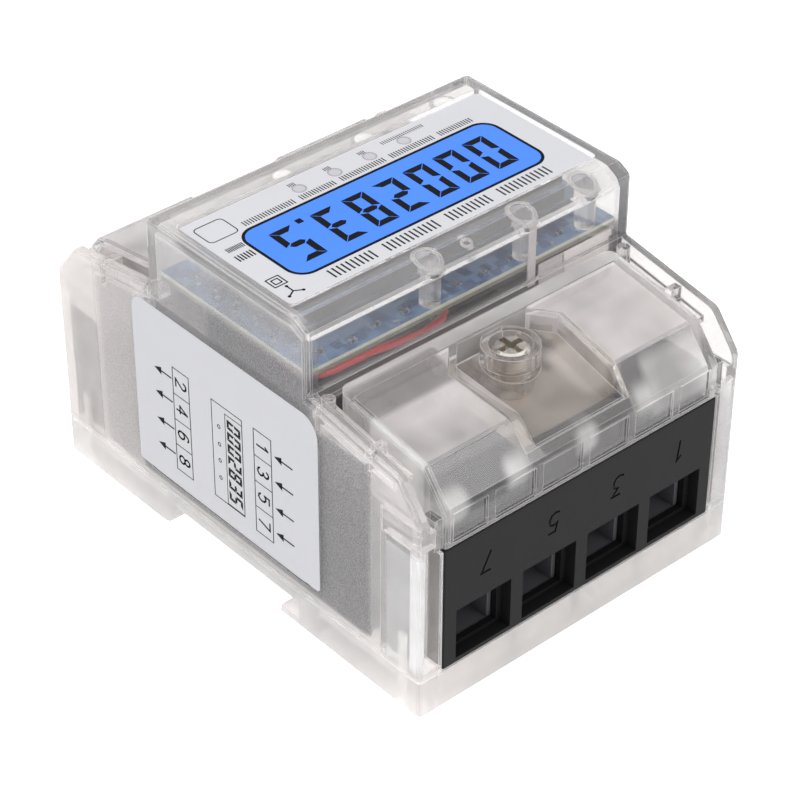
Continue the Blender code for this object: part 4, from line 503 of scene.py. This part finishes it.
def make_materials():
    """One material for each finish, two of them copies in painted light and shade. The comment above each
    says what it gives the eye.
    """
    finishes = {}
    # Injection-moulded polycarbonate, mirror-polished outside and etched inside: see-through, with painted
    # grey shade on the etched side walls and a painted white highlight along every edge.
    finishes["clear_case"] = clear_polycarbonate(
        "clear moulded polycarbonate, etched inside", (0.12, "F6F2F1", 0.02), (0.32, "F6F2F1", 0.12),
        CASE_ZONES, FRONT_BOSS_HIGHLIGHT_ZONES, (0, 0, 25))
    # The covers' underside is etched more, so the blocks show only as soft dark shapes; their zones add
    # painted shade and lit spots.
    finishes["frosted_cover"] = clear_polycarbonate(
        "clear moulded polycarbonate, frosted underside", (0.07, "F4F0F1", 0.02), (0.50, "E8E4E6", 0.2),
        COVER_ZONES, COVER_ONE_SIDED, (0, 0, 20), grain_mm=0.2, grain_share=0.05, cloud=0.35)
    # Terminal blocks: near black, satin, with a fine grain that dulls the highlights.
    finishes["black_moulding"] = moulded_plastic(
        "black flame-retardant polyamide, satin moulded", "161617", 0.6, relief=0.12, gloss=0.22)
    # The carrier under the board: warm dark grey, dull.
    finishes["inner_black"] = moulded_plastic("dark grey inner moulding", "4A4648", 0.5)
    # Case screws and terminal screws: bright, slightly warm, with small dull stains.
    finishes["plated_steel"] = plated_metal("bright nickel-plated steel", "E6DFD2", 0.22)
    # Sealing screws: brighter and sharper than the rest, with painted shade in the grey cross recess.
    finishes["nickel"] = nickel_screw_head(SEALING_SCREW_Y, corners("front_sealing_screw")[1][2])
    # Cages and busbars seen deep in the wire entries: dark and soft.
    finishes["dark_steel"] = moulded_plastic("black-passivated steel", "6C6C70", 0.4)
    # Brass pieces under the sealing screws: yellow glow through the covers.
    finishes["brass"] = plated_metal("turned brass", "C9A469", 0.3)
    # Solder on the board: small dull bright dots.
    finishes["solder"] = plated_metal("dull solder", "C9CCD2", 0.4)
    # The faceplate and the label are printed films: even, pale, slightly cool.
    finishes["faceplate_print"] = printed_film("pale grey printed polyester", "DEDEE2")
    finishes["label_film"] = printed_film("silver-white label film", "DDDDE0")
    # The display: an even, saturated blue.
    finishes["display_blue"] = backlit_glass()
    # Light guide behind it: milky, a little blue.
    finishes["light_guide"] = moulded_plastic("milky acrylic light guide", "DCE4F2", 0.3)
    # Circuit board: greyish blue with paler tracks.
    finishes["board_blue"] = solder_resist()
    # Parts on the board: near black and matt, and capacitors in a shinier sleeve.
    finishes["chip_black"] = moulded_plastic("moulded black epoxy", "1B1B1D", 0.5)
    finishes["capacitor_sleeve"] = moulded_plastic("black shrunk sleeve", "20222A", 0.3)
    # Rail clip: plain mid grey moulding.
    finishes["clip_grey"] = moulded_plastic("grey moulded polyamide", "8E9094", 0.45)
    # Lead insulation: deep red, a little shiny.
    finishes["red_insulation"] = moulded_plastic("red PVC insulation", "BC2E2E", 0.35)
    # Lamps: pale and glossy, slightly warm.
    finishes["led_lens"] = moulded_plastic("clear epoxy lamp body", "E2DCD8", 0.25)
    # Current transformers: dark blue and shiny, seen only through the walls.
    finishes["potted_transformer"] = moulded_plastic("dark blue potting resin", "27344E", 0.25)
    # Collars and strips of unpolished polycarbonate: pale and slightly warm.
    finishes["milky"] = moulded_plastic("milky polycarbonate", "CBC7C8", 0.25, variation=0.02)
    # The same in shadow, for the rings behind the faceplate: mid grey.
    finishes["shaded"] = moulded_plastic("polycarbonate collar in painted shade", "5C595E", 0.25, variation=0.02)
    # The same seen against the light: nearly white.
    finishes["pale"] = moulded_plastic("polycarbonate in painted light", "F4F1F0", 0.25, variation=0.02)
    # Inks: flat black without a shine; the display's is the deepest.
    finishes["screen_ink"] = moulded_plastic("black screen ink", "060607", 0.5, variation=0.0, gloss=0.08)
    finishes["plate_ink"] = moulded_plastic("black plate print", "141416", 0.5, variation=0.0, gloss=0.1)
    finishes["label_ink"] = moulded_plastic("black label print", "0E0E10", 0.5, variation=0.0, gloss=0.1)
    # Lamp windows in the plate: round, pale and milky, with a darker grey rim.
    finishes["lamp_window"] = moulded_plastic("milky lamp window", "CFCDD2", 0.2, variation=0.03)
    finishes["lamp_rim"] = moulded_plastic("grey lamp window rim", "B4B2B8", 0.3, variation=0.03)
    # Chip resistors: small blue-grey blocks between bright ends.
    finishes["resistor"] = moulded_plastic("grey alumina chip resistor", "5A6270", 0.4)
    return finishes


# Mesh building

def mesh_piece(name, points, faces, finish, body):
    """Writes points in millimetres and faces into a mesh in the shared frame, its faces outward."""
    mesh = bpy.data.meshes.new(name)
    mesh.from_pydata((np.asarray(points, float) * MM).tolist(), [], faces)
    turned = bmesh.new()
    turned.from_mesh(mesh)
    bmesh.ops.recalc_face_normals(turned, faces=turned.faces)
    turned.to_mesh(mesh)
    turned.free()
    mesh.materials.append(finish)
    made = bpy.data.objects.new(name, mesh)
    bpy.context.scene.collection.objects.link(made)
    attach(made, body)


def slabs(outlines, thickness, place):
    """Points and faces of thin closed plates, each a convex outline given thickness.

    place takes across, up and out arrays to points, so one drawing can lie on any face.
    """
    points, faces = [], []
    for outline in outlines:
        outline = np.asarray(outline, float)
        count = len(outline)
        start = sum(len(p) for p in points)
        for out in (0.0, thickness):
            points.append(place(outline[:, 0], outline[:, 1], np.full(count, out)))
        faces.append([start + i for i in range(count)][::-1])
        faces.append([start + count + i for i in range(count)])
        for i in range(count):
            j = (i + 1) % count
            faces.append([start + i, start + j, start + count + j, start + count + i])
    return np.vstack(points), faces


def rectangle(low, high):
    """The four corners between a low and a high corner."""
    return [(low[0], low[1]), (high[0], low[1]), (high[0], high[1]), (low[0], high[1])]


def disc(centre, radius, count):
    """A regular polygon: centre plus radius times the cosine and sine of even angles."""
    angle = np.arange(count) * 2 * np.pi / count
    return np.stack([centre[0] + radius * np.cos(angle), centre[1] + radius * np.sin(angle)], axis=1)


def line_pieces(points, width):
    """Each stretch of a line as its own rectangle, half a width longer at both ends."""
    out = []
    for a, b in zip(points, points[1:]):
        a, b = np.array(a, float), np.array(b, float)
        along = (b - a) / np.hypot(*(b - a))
        side = np.array((-along[1], along[0])) * width / 2
        a, b = a - along * width / 2, b + along * width / 2
        out.append([a - side, b - side, b + side, a + side])
    return out


def ring_pieces(inner, outer):
    """A closed band between two outlines with the same number of points, as four-sided pieces."""
    count = len(inner)
    pairs = [(i, (i + 1) % count) for i in range(count)]
    return [[inner[j], outer[j], outer[i], inner[i]] for i, j in pairs]


def rounded(centre, size, radius, steps):
    """Rounded rectangle: four quarter circles joined by straight sides."""
    turns = np.radians(np.concatenate([np.linspace(a, a + 90, steps + 1) for a in (0, 90, 180, 270)]))
    signs = np.repeat(np.array([(1, 1), (-1, 1), (-1, -1), (1, -1)]), steps + 1, axis=0)
    middle = np.array(centre) + signs * (np.array(size) / 2 - radius)
    return middle + radius * np.stack([np.cos(turns), np.sin(turns)], axis=1)


# Lit bars of each figure of the reading, lettered from the top round to the left and the middle
DIGIT_SEGMENTS = {"0": "abcdef", "2": "abdeg", "3": "abcdg", "5": "acdfg", "8": "abcdefg"}


def segment_digit(digit, width, height, thick, gap, slant):
    """Seven-segment digit round the origin, its bars mitred and mirrored from one top and one side bar.

    Each point leans across by slant times its height.
    """
    across, up = width / 2, height / 2
    bar = [(gap - across, up), (thick + gap - across, up - thick), (across - thick - gap, up - thick),
           (across - gap, up)]
    side = [(across, up - gap), (across - thick, up - thick - gap), (across - thick, thick / 2 + gap),
            (across, gap)]
    flat = [(thick / 2 + gap - across, 0), (thick + gap - across, -thick / 2),
            (across - thick - gap, -thick / 2), (across - thick / 2 - gap, 0),
            (across - thick - gap, thick / 2), (thick + gap - across, thick / 2)]
    shapes = {"a": (bar, 1, 1), "d": (bar, 1, -1), "b": (side, 1, 1), "c": (side, 1, -1),
              "e": (side, -1, -1), "f": (side, -1, 1), "g": (flat, 1, 1)}
    out = []
    for letter in DIGIT_SEGMENTS[digit]:
        shape, flip_x, flip_y = shapes[letter]
        points = np.array(shape, float) * (flip_x, flip_y)
        if flip_x * flip_y < 0:
            points = points[::-1]
        points[:, 0] += slant * points[:, 1]
        out.append(points)
    return out


def bow(centre, radii, start, finish, count=9):
    """Points of an arc: centre plus radii times the cosine and sine of even angles in degrees."""
    angle = np.radians(np.linspace(start, finish, count))
    return list(zip(centre[0] + radii[0] * np.cos(angle), centre[1] + radii[1] * np.sin(angle)))


def plain_figure(digit, width, height, stroke):
    """A figure of even strokes round the origin, drawn in a square of side one and stretched."""
    lines = {
        "1": [[(-0.2, 0.28), (0.12, 0.5), (0.12, -0.5)]],
        "2": [bow((0, 0.24), (0.46, 0.26), 170, -25) + [(-0.5, -0.5), (0.5, -0.5)]],
        "3": [bow((0, 0.26), (0.42, 0.24), 160, -90), bow((0, -0.24), (0.5, 0.26), 90, -160)],
        "4": [[(0.22, -0.5), (0.22, 0.5), (-0.5, -0.2), (0.5, -0.2)]],
        "5": [[(0.42, 0.5), (-0.36, 0.5), (-0.42, 0.06)], bow((0, -0.16), (0.5, 0.34), 140, -150)],
        "6": [bow((0, -0.2), (0.48, 0.3), 0, 360, 17), bow((0.1, -0.1), (0.58, 0.6), 62, 180)],
        "7": [[(-0.5, 0.5), (0.5, 0.5), (-0.1, -0.5)]],
        "8": [bow((0, 0.26), (0.4, 0.24), 0, 360, 17), bow((0, -0.24), (0.5, 0.26), 0, 360, 17)]}
    out = []
    for line in lines[digit]:
        out += line_pieces([(x * width, y * height) for x, y in line], stroke)
    return out


def stroke_row(groups, start, end, up, height, stroke):
    """A row of upright strokes in pairs: each group is a number of pairs, then an empty cell."""
    cells = sum(groups) + len(groups) - 1
    pitch = (end - start) / cells
    out, cell = [], 0
    for pairs in groups:
        for i in range(pairs):
            for share in (0.12, 0.62):
                left = start + (cell + i + share) * pitch
                out.append(rectangle((left, up - height / 2), (left + stroke, up + height / 2)))
        cell += pairs + 1
    return out


def moved(outlines, across, up):
    """The outlines shifted across and up."""
    return [np.asarray(outline, float) + (across, up) for outline in outlines]


# Faceplate and display

plate_top = corners("faceplate")[1][2]
glass_top = corners("display_glass")[1][2]

READING = "0002835"
DIGIT_FIRST_X = 22.4
DIGIT_PITCH = 7.05
POINT_SPACE = 2.05
DIGIT_MIDDLE_Y = -1.0
DECIMAL_POINT = ((16.8, -4.8), (18.1, -3.5))
INK = 0.02

# Display window: its middle, then the size and corner radius of the film and of the border's two edges
WINDOW_MIDDLE = (-0.4, 0.75)
FILM = ((57.7, 17.1), 3.35)
BORDER_INSIDE = ((57.2, 16.6), 3.1)
BORDER_OUTSIDE = ((58.4, 17.8), 3.7)
FILM_BELOW_PLATE = 0.06

# Marks on the plate: each by its middle, with its sizes and line widths
SQUARE_MARK = (32.0, 7.5)
SQUARE_SIZES = (2.9, 1.6)
SQUARE_LINE = 0.25
STAR_MARK = (31.6, 11.4)
STAR_TURNS = (-90, 30, 150)
STAR_REACH, STAR_LINE, STAR_DOT = 1.75, 0.28, 0.32
EMPTY_FRAME = (30.1, -11.1)
FRAME_INSIDE = ((6.0, 5.1), 0.8)
FRAME_OUTSIDE = ((6.4, 5.5), 1.0)

# Rows of strokes on the plate: pairs in each group, start and end across, middle up, height and width
# of the strokes
PLATE_ROWS = [
    ((6, 5, 6, 5), -26.5, 24.2, 11.8, 2.6, 0.36),
    ((7, 9, 9, 7, 10), -27.5, 25.5, -9.6, 1.5, 0.22),
    ((3,), 29.2, 33.0, -1.9, 1.9, 0.3),
    ((5,), 29.0, 32.7, -4.9, 1.3, 0.2),
    *[((2,), x - 0.8, x + 0.8, -13.9, 1.0, 0.16) for x in (-4.9, 3.1, 11.2)],
    ((10,), -19.5, -9.5, -13.9, 1.0, 0.16),
]

LAMPS = 4
LAMP_WINDOW_RADIUS = 1.05
LAMP_RIM_RADII = (1.06, 1.36)
LAMP_WINDOW_DEPTH = 0.2


def on_plate(x, y, out):
    """The plate reads from the even-numbered side: across is -X and up is -Y."""
    return np.stack([-x, -y, plate_top + out], axis=1)


def dress_display(materials):
    """A blue film that fills the window up to the plate, its black border and the black figures."""
    ink = materials["screen_ink"]
    depth = plate_top - glass_top - FILM_BELOW_PLATE
    points, faces = slabs([rounded(WINDOW_MIDDLE, *FILM, 8)], depth, on_plate)
    points[:, 2] -= depth
    mesh_piece("display_film", points, faces, materials["display_blue"], "case")
    digits = []
    for i, digit in enumerate(READING):
        across = DIGIT_PITCH * i - DIGIT_FIRST_X + (POINT_SPACE if i == len(READING) - 1 else 0)
        figure = segment_digit(digit, width=4.9, height=10.5, thick=1.38, gap=0.1, slant=0.035)
        digits += moved(figure, across, -DIGIT_MIDDLE_Y)
    digits.append(rectangle(*DECIMAL_POINT))
    points, faces = slabs(digits, INK, on_plate)
    mesh_piece("display_digits", points, faces, ink, "case")
    border = ring_pieces(rounded(WINDOW_MIDDLE, *BORDER_INSIDE, 8),
                         rounded(WINDOW_MIDDLE, *BORDER_OUTSIDE, 8))
    points, faces = slabs(border, INK, on_plate)
    mesh_piece("display_border", points, faces, ink, "case")


def dress_plate(materials):
    """Plain marks: two squares, a star, an empty frame and rows of strokes, then the lamp windows."""
    marks = []
    for size in SQUARE_SIZES:
        hole = size - 2 * SQUARE_LINE
        marks += ring_pieces(rounded(SQUARE_MARK, (hole, hole), 0.05, 1),
                             rounded(SQUARE_MARK, (size, size), 0.1, 1))
    star = np.array(STAR_MARK)
    for turn in STAR_TURNS:
        tip = star + STAR_REACH * np.array((math.cos(math.radians(turn)), math.sin(math.radians(turn))))
        marks += line_pieces([star, tip], STAR_LINE)
        marks.append(disc(tip, STAR_DOT, 10))
    marks += ring_pieces(rounded(EMPTY_FRAME, *FRAME_INSIDE, 4), rounded(EMPTY_FRAME, *FRAME_OUTSIDE, 4))
    for row in PLATE_ROWS:
        marks += stroke_row(*row)
    points, faces = slabs(marks, INK, on_plate)
    mesh_piece("plate_marks", points, faces, materials["plate_ink"], "case")

    for i in range(1, LAMPS + 1):
        low, high = corners(f"indicator_led_{i}")
        centre = -(low + high)[:2] / 2
        window = [disc(centre, LAMP_WINDOW_RADIUS, 28)]
        rim = ring_pieces(*(disc(centre, radius, 28) for radius in LAMP_RIM_RADII))
        for name, outlines, sunk, finish in ((f"lamp_window_{i}", window, 0.02, "lamp_window"),
                                             (f"lamp_rim_{i}", rim, 0.0, "lamp_rim")):
            points, faces = slabs(outlines, LAMP_WINDOW_DEPTH, on_plate)
            points[:, 2] -= LAMP_WINDOW_DEPTH + sunk
            mesh_piece(name, points, faces, materials[finish], "case")


# Board and roof

SHUFFLE_SEED = 41
PART_PITCH = 6.1
DOT_PITCH = 5.3
PART_HEIGHT = 0.5
SOLDER_HEIGHT = 0.35
# Low and high corners round the middle of a chip resistor, and of two pads beside a solder dot
RESISTOR_ENDS = [((-0.9, -0.45), (-0.35, 0.45)), ((0.35, -0.45), (0.9, 0.45))]
RESISTOR_BODY = ((-0.34, -0.4), (0.34, 0.4))
PADS = [((0.9, 1.4), (1.3, 2.4)), ((2.0, 1.4), (2.4, 2.4))]

ROOF_THICKNESS = 2.6
BOSS_FACE_RADIUS, BOSS_FACE_THICKNESS, BOSS_FACE_DROP = 1.9, 0.3, 0.1
COLLAR_FOOT_BELOW_ROOF = 0.5
COLLAR_HEIGHT = 0.45
COLLAR_RADII = (1.95, 2.65)
SMALL_COLLAR_RADII = (0.7, 1.2)
REAR_SMALL_COLLAR = (-0.6, 17.2)
FRONT_SMALL_COLLAR = (0.6, -18.0)
WALL_BACK_Y = -19.5
STRIP_THICKNESS = 0.3
# Low and high corners, across and up, of the strips of each finish
STRIPS = [
    ("pale_strips", "milky", [((13.5, 50.5), (15.3, 62.5)), ((16.2, 49.8), (22.0, 53.9))]),
    # The right strip is in painted light: a nearly white copy of the milky finish.
    ("right_strip_in_painted_light", "pale", [((22.3, 49.8), (34.0, 53.9))]),
]


def dress_board(materials):
    """Chip resistors with soldered ends, and solder dots, along the board's front and left edges."""
    low, high = corners("main_board")
    shuffle = np.random.default_rng(SHUFFLE_SEED)
    dark, metal = [], []
    for x in np.arange(low[0] + 4.0, high[0] - 3.0, PART_PITCH):
        y = low[1] + 1.6 + 1.4 * shuffle.random()
        metal += moved([rectangle(*end) for end in RESISTOR_ENDS], x, y)
        dark += moved([rectangle(*RESISTOR_BODY)], x, y)
        if shuffle.random() < 0.5:
            metal.append(disc((x + 2.8, low[1] + 1.0), 0.4, 12))
    for y in np.arange(low[1] + 4.0, high[1] - 3.0, DOT_PITCH):
        x = low[0] + 1.3 + 1.0 * shuffle.random()
        metal.append(disc((x, y), 0.45, 12))
        metal += moved([rectangle(*pad) for pad in PADS], x, y)

    def on_board(x, y, out):
        return np.stack([x, y, high[2] + out], axis=1)

    points, faces = slabs(dark, PART_HEIGHT, on_board)
    mesh_piece("small_board_parts", points, faces, materials["resistor"], "case")
    points, faces = slabs(metal, SOLDER_HEIGHT, on_board)
    mesh_piece("solder_dots", points, faces, materials["solder"], "case")


def dress_roof(materials):
    """Collars where the bosses meet the underside of the roof, and pale strips behind the front wall."""
    roof = corners("upper_housing")[1][2] - ROOF_THICKNESS
    rear = [(x, BOSS_Y) for x in REAR_BOSSES_X]
    front = [(x, -BOSS_Y) for x in FRONT_BOSSES_X]

    def under_roof(x, y, out):
        return np.stack([x, y, roof - COLLAR_FOOT_BELOW_ROOF + out], axis=1)

    def behind_wall(x, z, out):
        return np.stack([x, WALL_BACK_Y + out, z], axis=1)

    # The faces of the rear bosses are in painted light: a nearly white copy of the milky finish.
    caps = [disc(centre, BOSS_FACE_RADIUS, 32) for centre in rear]
    points, faces = slabs(caps, BOSS_FACE_THICKNESS, under_roof)
    points[:, 2] -= BOSS_FACE_DROP
    mesh_piece("rear_boss_faces", points, faces, materials["pale"], "case")
    # The rear collars are in painted shade: a mid grey copy of the milky finish.
    for name, finish, large, small in (
            ("rear_boss_collars", "shaded", rear, REAR_SMALL_COLLAR),
            ("front_boss_collars", "clear_case", front, FRONT_SMALL_COLLAR)):
        rings = ring_pieces(*(disc(small, radius, 24) for radius in SMALL_COLLAR_RADII))
        for centre in large:
            rings += ring_pieces(*(disc(centre, radius, 32) for radius in COLLAR_RADII))
        points, faces = slabs(rings, COLLAR_HEIGHT, under_roof)
        mesh_piece(name, points, faces, materials[finish], "case")
    for name, finish, strips in STRIPS:
        points, faces = slabs([rectangle(*strip) for strip in strips], STRIP_THICKNESS, behind_wall)
        mesh_piece(name, points, faces, materials[finish], "case")


# Side label. Its drawing is given as Y and Z of the case.

label_face = corners("upper_housing")[0][0] - 0.01

SHEET_LOW, SHEET_HIGH = (-24.2, 11.3), (26.9, 48.2)
SHEET_MIDDLE_Z = 30
SHEET_THICKNESS = 0.04
PRINT_LIFT = 0.05
# Corners of the sheet: Y, Z, radius and the angle at which the arc starts
SHEET_CORNERS = [
    (SHEET_HIGH[0], SHEET_HIGH[1], 3.2, 0), (SHEET_LOW[0], SHEET_HIGH[1], 4.0, 90),
    (SHEET_LOW[0], SHEET_LOW[1], 1.0, 180), (SHEET_HIGH[0], SHEET_LOW[1], 0.6, 270),
]
# Columns of numbered cells: low and high Y, top and bottom Z, first number
CELL_COLUMNS = [(-11.7, -6.95, 37.3, 14.7, 1), (11.1, 15.7, 37.8, 15.1, 2)]
# The small meter between them: its two frames with their line widths, its reading and its lamps
SMALL_FRAMES = [((-3.75, 15.7), (4.7, 37.0), 0.16), ((-3.75, 15.9), (0.95, 35.8), 0.14)]
SMALL_DIGITS_Y, SMALL_FIRST_Z, SMALL_PITCH = -1.4, 33.7, 2.62
SMALL_LAMPS_Y, SMALL_LAMPS_Z = 2.8, (32.0, 28.1, 24.5, 20.65)
# Arrows: line width, how far the line stops before the tip, length and half width of the head; then Y of
# the tail and of the tip, and the heights at which they stand
ARROW_LINE, ARROW_STOP, HEAD_LENGTH, HEAD_HALF = 0.3, 1.6, 2.0, 0.8
ARROWS = [(-17.3, -12.5, (34.4, 28.9, 23.05, 17.5)), (16.2, 21.0, (35.1, 29.8, 23.8, 18.2))]


def on_label(y, z, out):
    """The label's outer face looks along -X; the drawing's two numbers are Y and Z."""
    return np.stack([label_face - out, y, z], axis=1)


def on_sheet(figure, y, z):
    """A figure laid on the label: its top points along -Y and it reads along -Z."""
    figure = [np.asarray(piece, float) for piece in figure]
    return [np.stack([y - piece[:, 1], z - piece[:, 0]], axis=1) for piece in figure]


def dress_label(materials):
    """The sheet with its unequal corners, two columns of numbered cells, a small meter, eight arrows."""
    outline = []
    for y, z, radius, turn in SHEET_CORNERS:
        angle = np.radians(np.linspace(turn, turn + 90, 9))
        middle = (y - math.copysign(radius, y), z - math.copysign(radius, z - SHEET_MIDDLE_Z))
        outline.append(np.array(middle) + radius * np.stack([np.cos(angle), np.sin(angle)], axis=1))
    points, faces = slabs([np.vstack(outline)], SHEET_THICKNESS, on_label)
    mesh_piece("label_sheet", points, faces, materials["label_film"], "case")

    lines = []
    for low_y, high_y, high_z, low_z, first in CELL_COLUMNS:
        rows = np.linspace(high_z, low_z, 5)
        for z in rows:
            lines += line_pieces([(low_y, z), (high_y, z)], 0.16)
        for y in (low_y, high_y):
            lines += line_pieces([(y, low_z), (y, high_z)], 0.18)
        for i in range(4):
            figure = plain_figure(str(2 * i + first), width=1.6, height=2.9, stroke=0.36)
            lines += on_sheet(figure, (low_y + high_y) / 2, (rows[i] + rows[i + 1]) / 2)
    for i, digit in enumerate(READING):
        figure = segment_digit(digit, width=1.9, height=3.7, thick=0.56, gap=0.03, slant=0.14)
        lines += on_sheet(figure, SMALL_DIGITS_Y, SMALL_FIRST_Z - SMALL_PITCH * i)
    for box_low, box_high, width in SMALL_FRAMES:
        ring = [box_low, (box_high[0], box_low[1]), box_high, (box_low[0], box_high[1]), box_low]
        lines += line_pieces(ring, width)
    for z in SMALL_LAMPS_Z:
        lines += ring_pieces(disc((SMALL_LAMPS_Y, z), 0.28, 12), disc((SMALL_LAMPS_Y, z), 0.45, 12))
    for tail, tip, places in ARROWS:
        out = math.copysign(1.0, tip - tail)
        for z in places:
            lines += line_pieces([(tail, z), (tip - out * ARROW_STOP, z)], ARROW_LINE)
            neck = tip - out * HEAD_LENGTH
            lines.append([(tip, z), (neck, z - HEAD_HALF), (neck, z + HEAD_HALF)])
    points, faces = slabs(lines, INK, on_label)
    points[:, 0] -= PRINT_LIFT
    mesh_piece("label_lines", points, faces, materials["label_ink"], "case")


# CAD nodes

# Nodes whose finish isn't that of their slot, by the start of their names
OWN_FINISHES = {"inner_carrier": "inner_black", "terminal_cage": "dark_steel", "busbar": "dark_steel",
                "front_sealing": "nickel", "rear_sealing": "nickel"}


def dress_nodes(materials):
    """Every CAD node takes the finish of its own material slot, or its own finish where it has one."""
    slots = {part["node"]: part["material_slot"] for part in frame["record"]["subparts"]}
    for name, node in NODES.items():
        chosen = slots[name]
        for start, own in OWN_FINISHES.items():
            if name.startswith(start):
                chosen = own
        for place in node.material_slots:
            place.material = materials[chosen]


def main():
    """Sets the view and the light paths, then the set, the finishes and the pieces."""
    scene = bpy.context.scene
    scene.view_settings.view_transform = "Standard"
    scene.cycles.use_denoising = True
    for bounces in ("max_bounces", "transmission_bounces", "transparent_max_bounces"):
        setattr(scene.cycles, bounces, CLEAR_WALL_BOUNCES)
    place_camera()
    light_the_set()
    lay_floor()
    materials = make_materials()
    for dress in (dress_nodes, dress_display, dress_plate, dress_board, dress_roof, dress_label):
        dress(materials)


main()
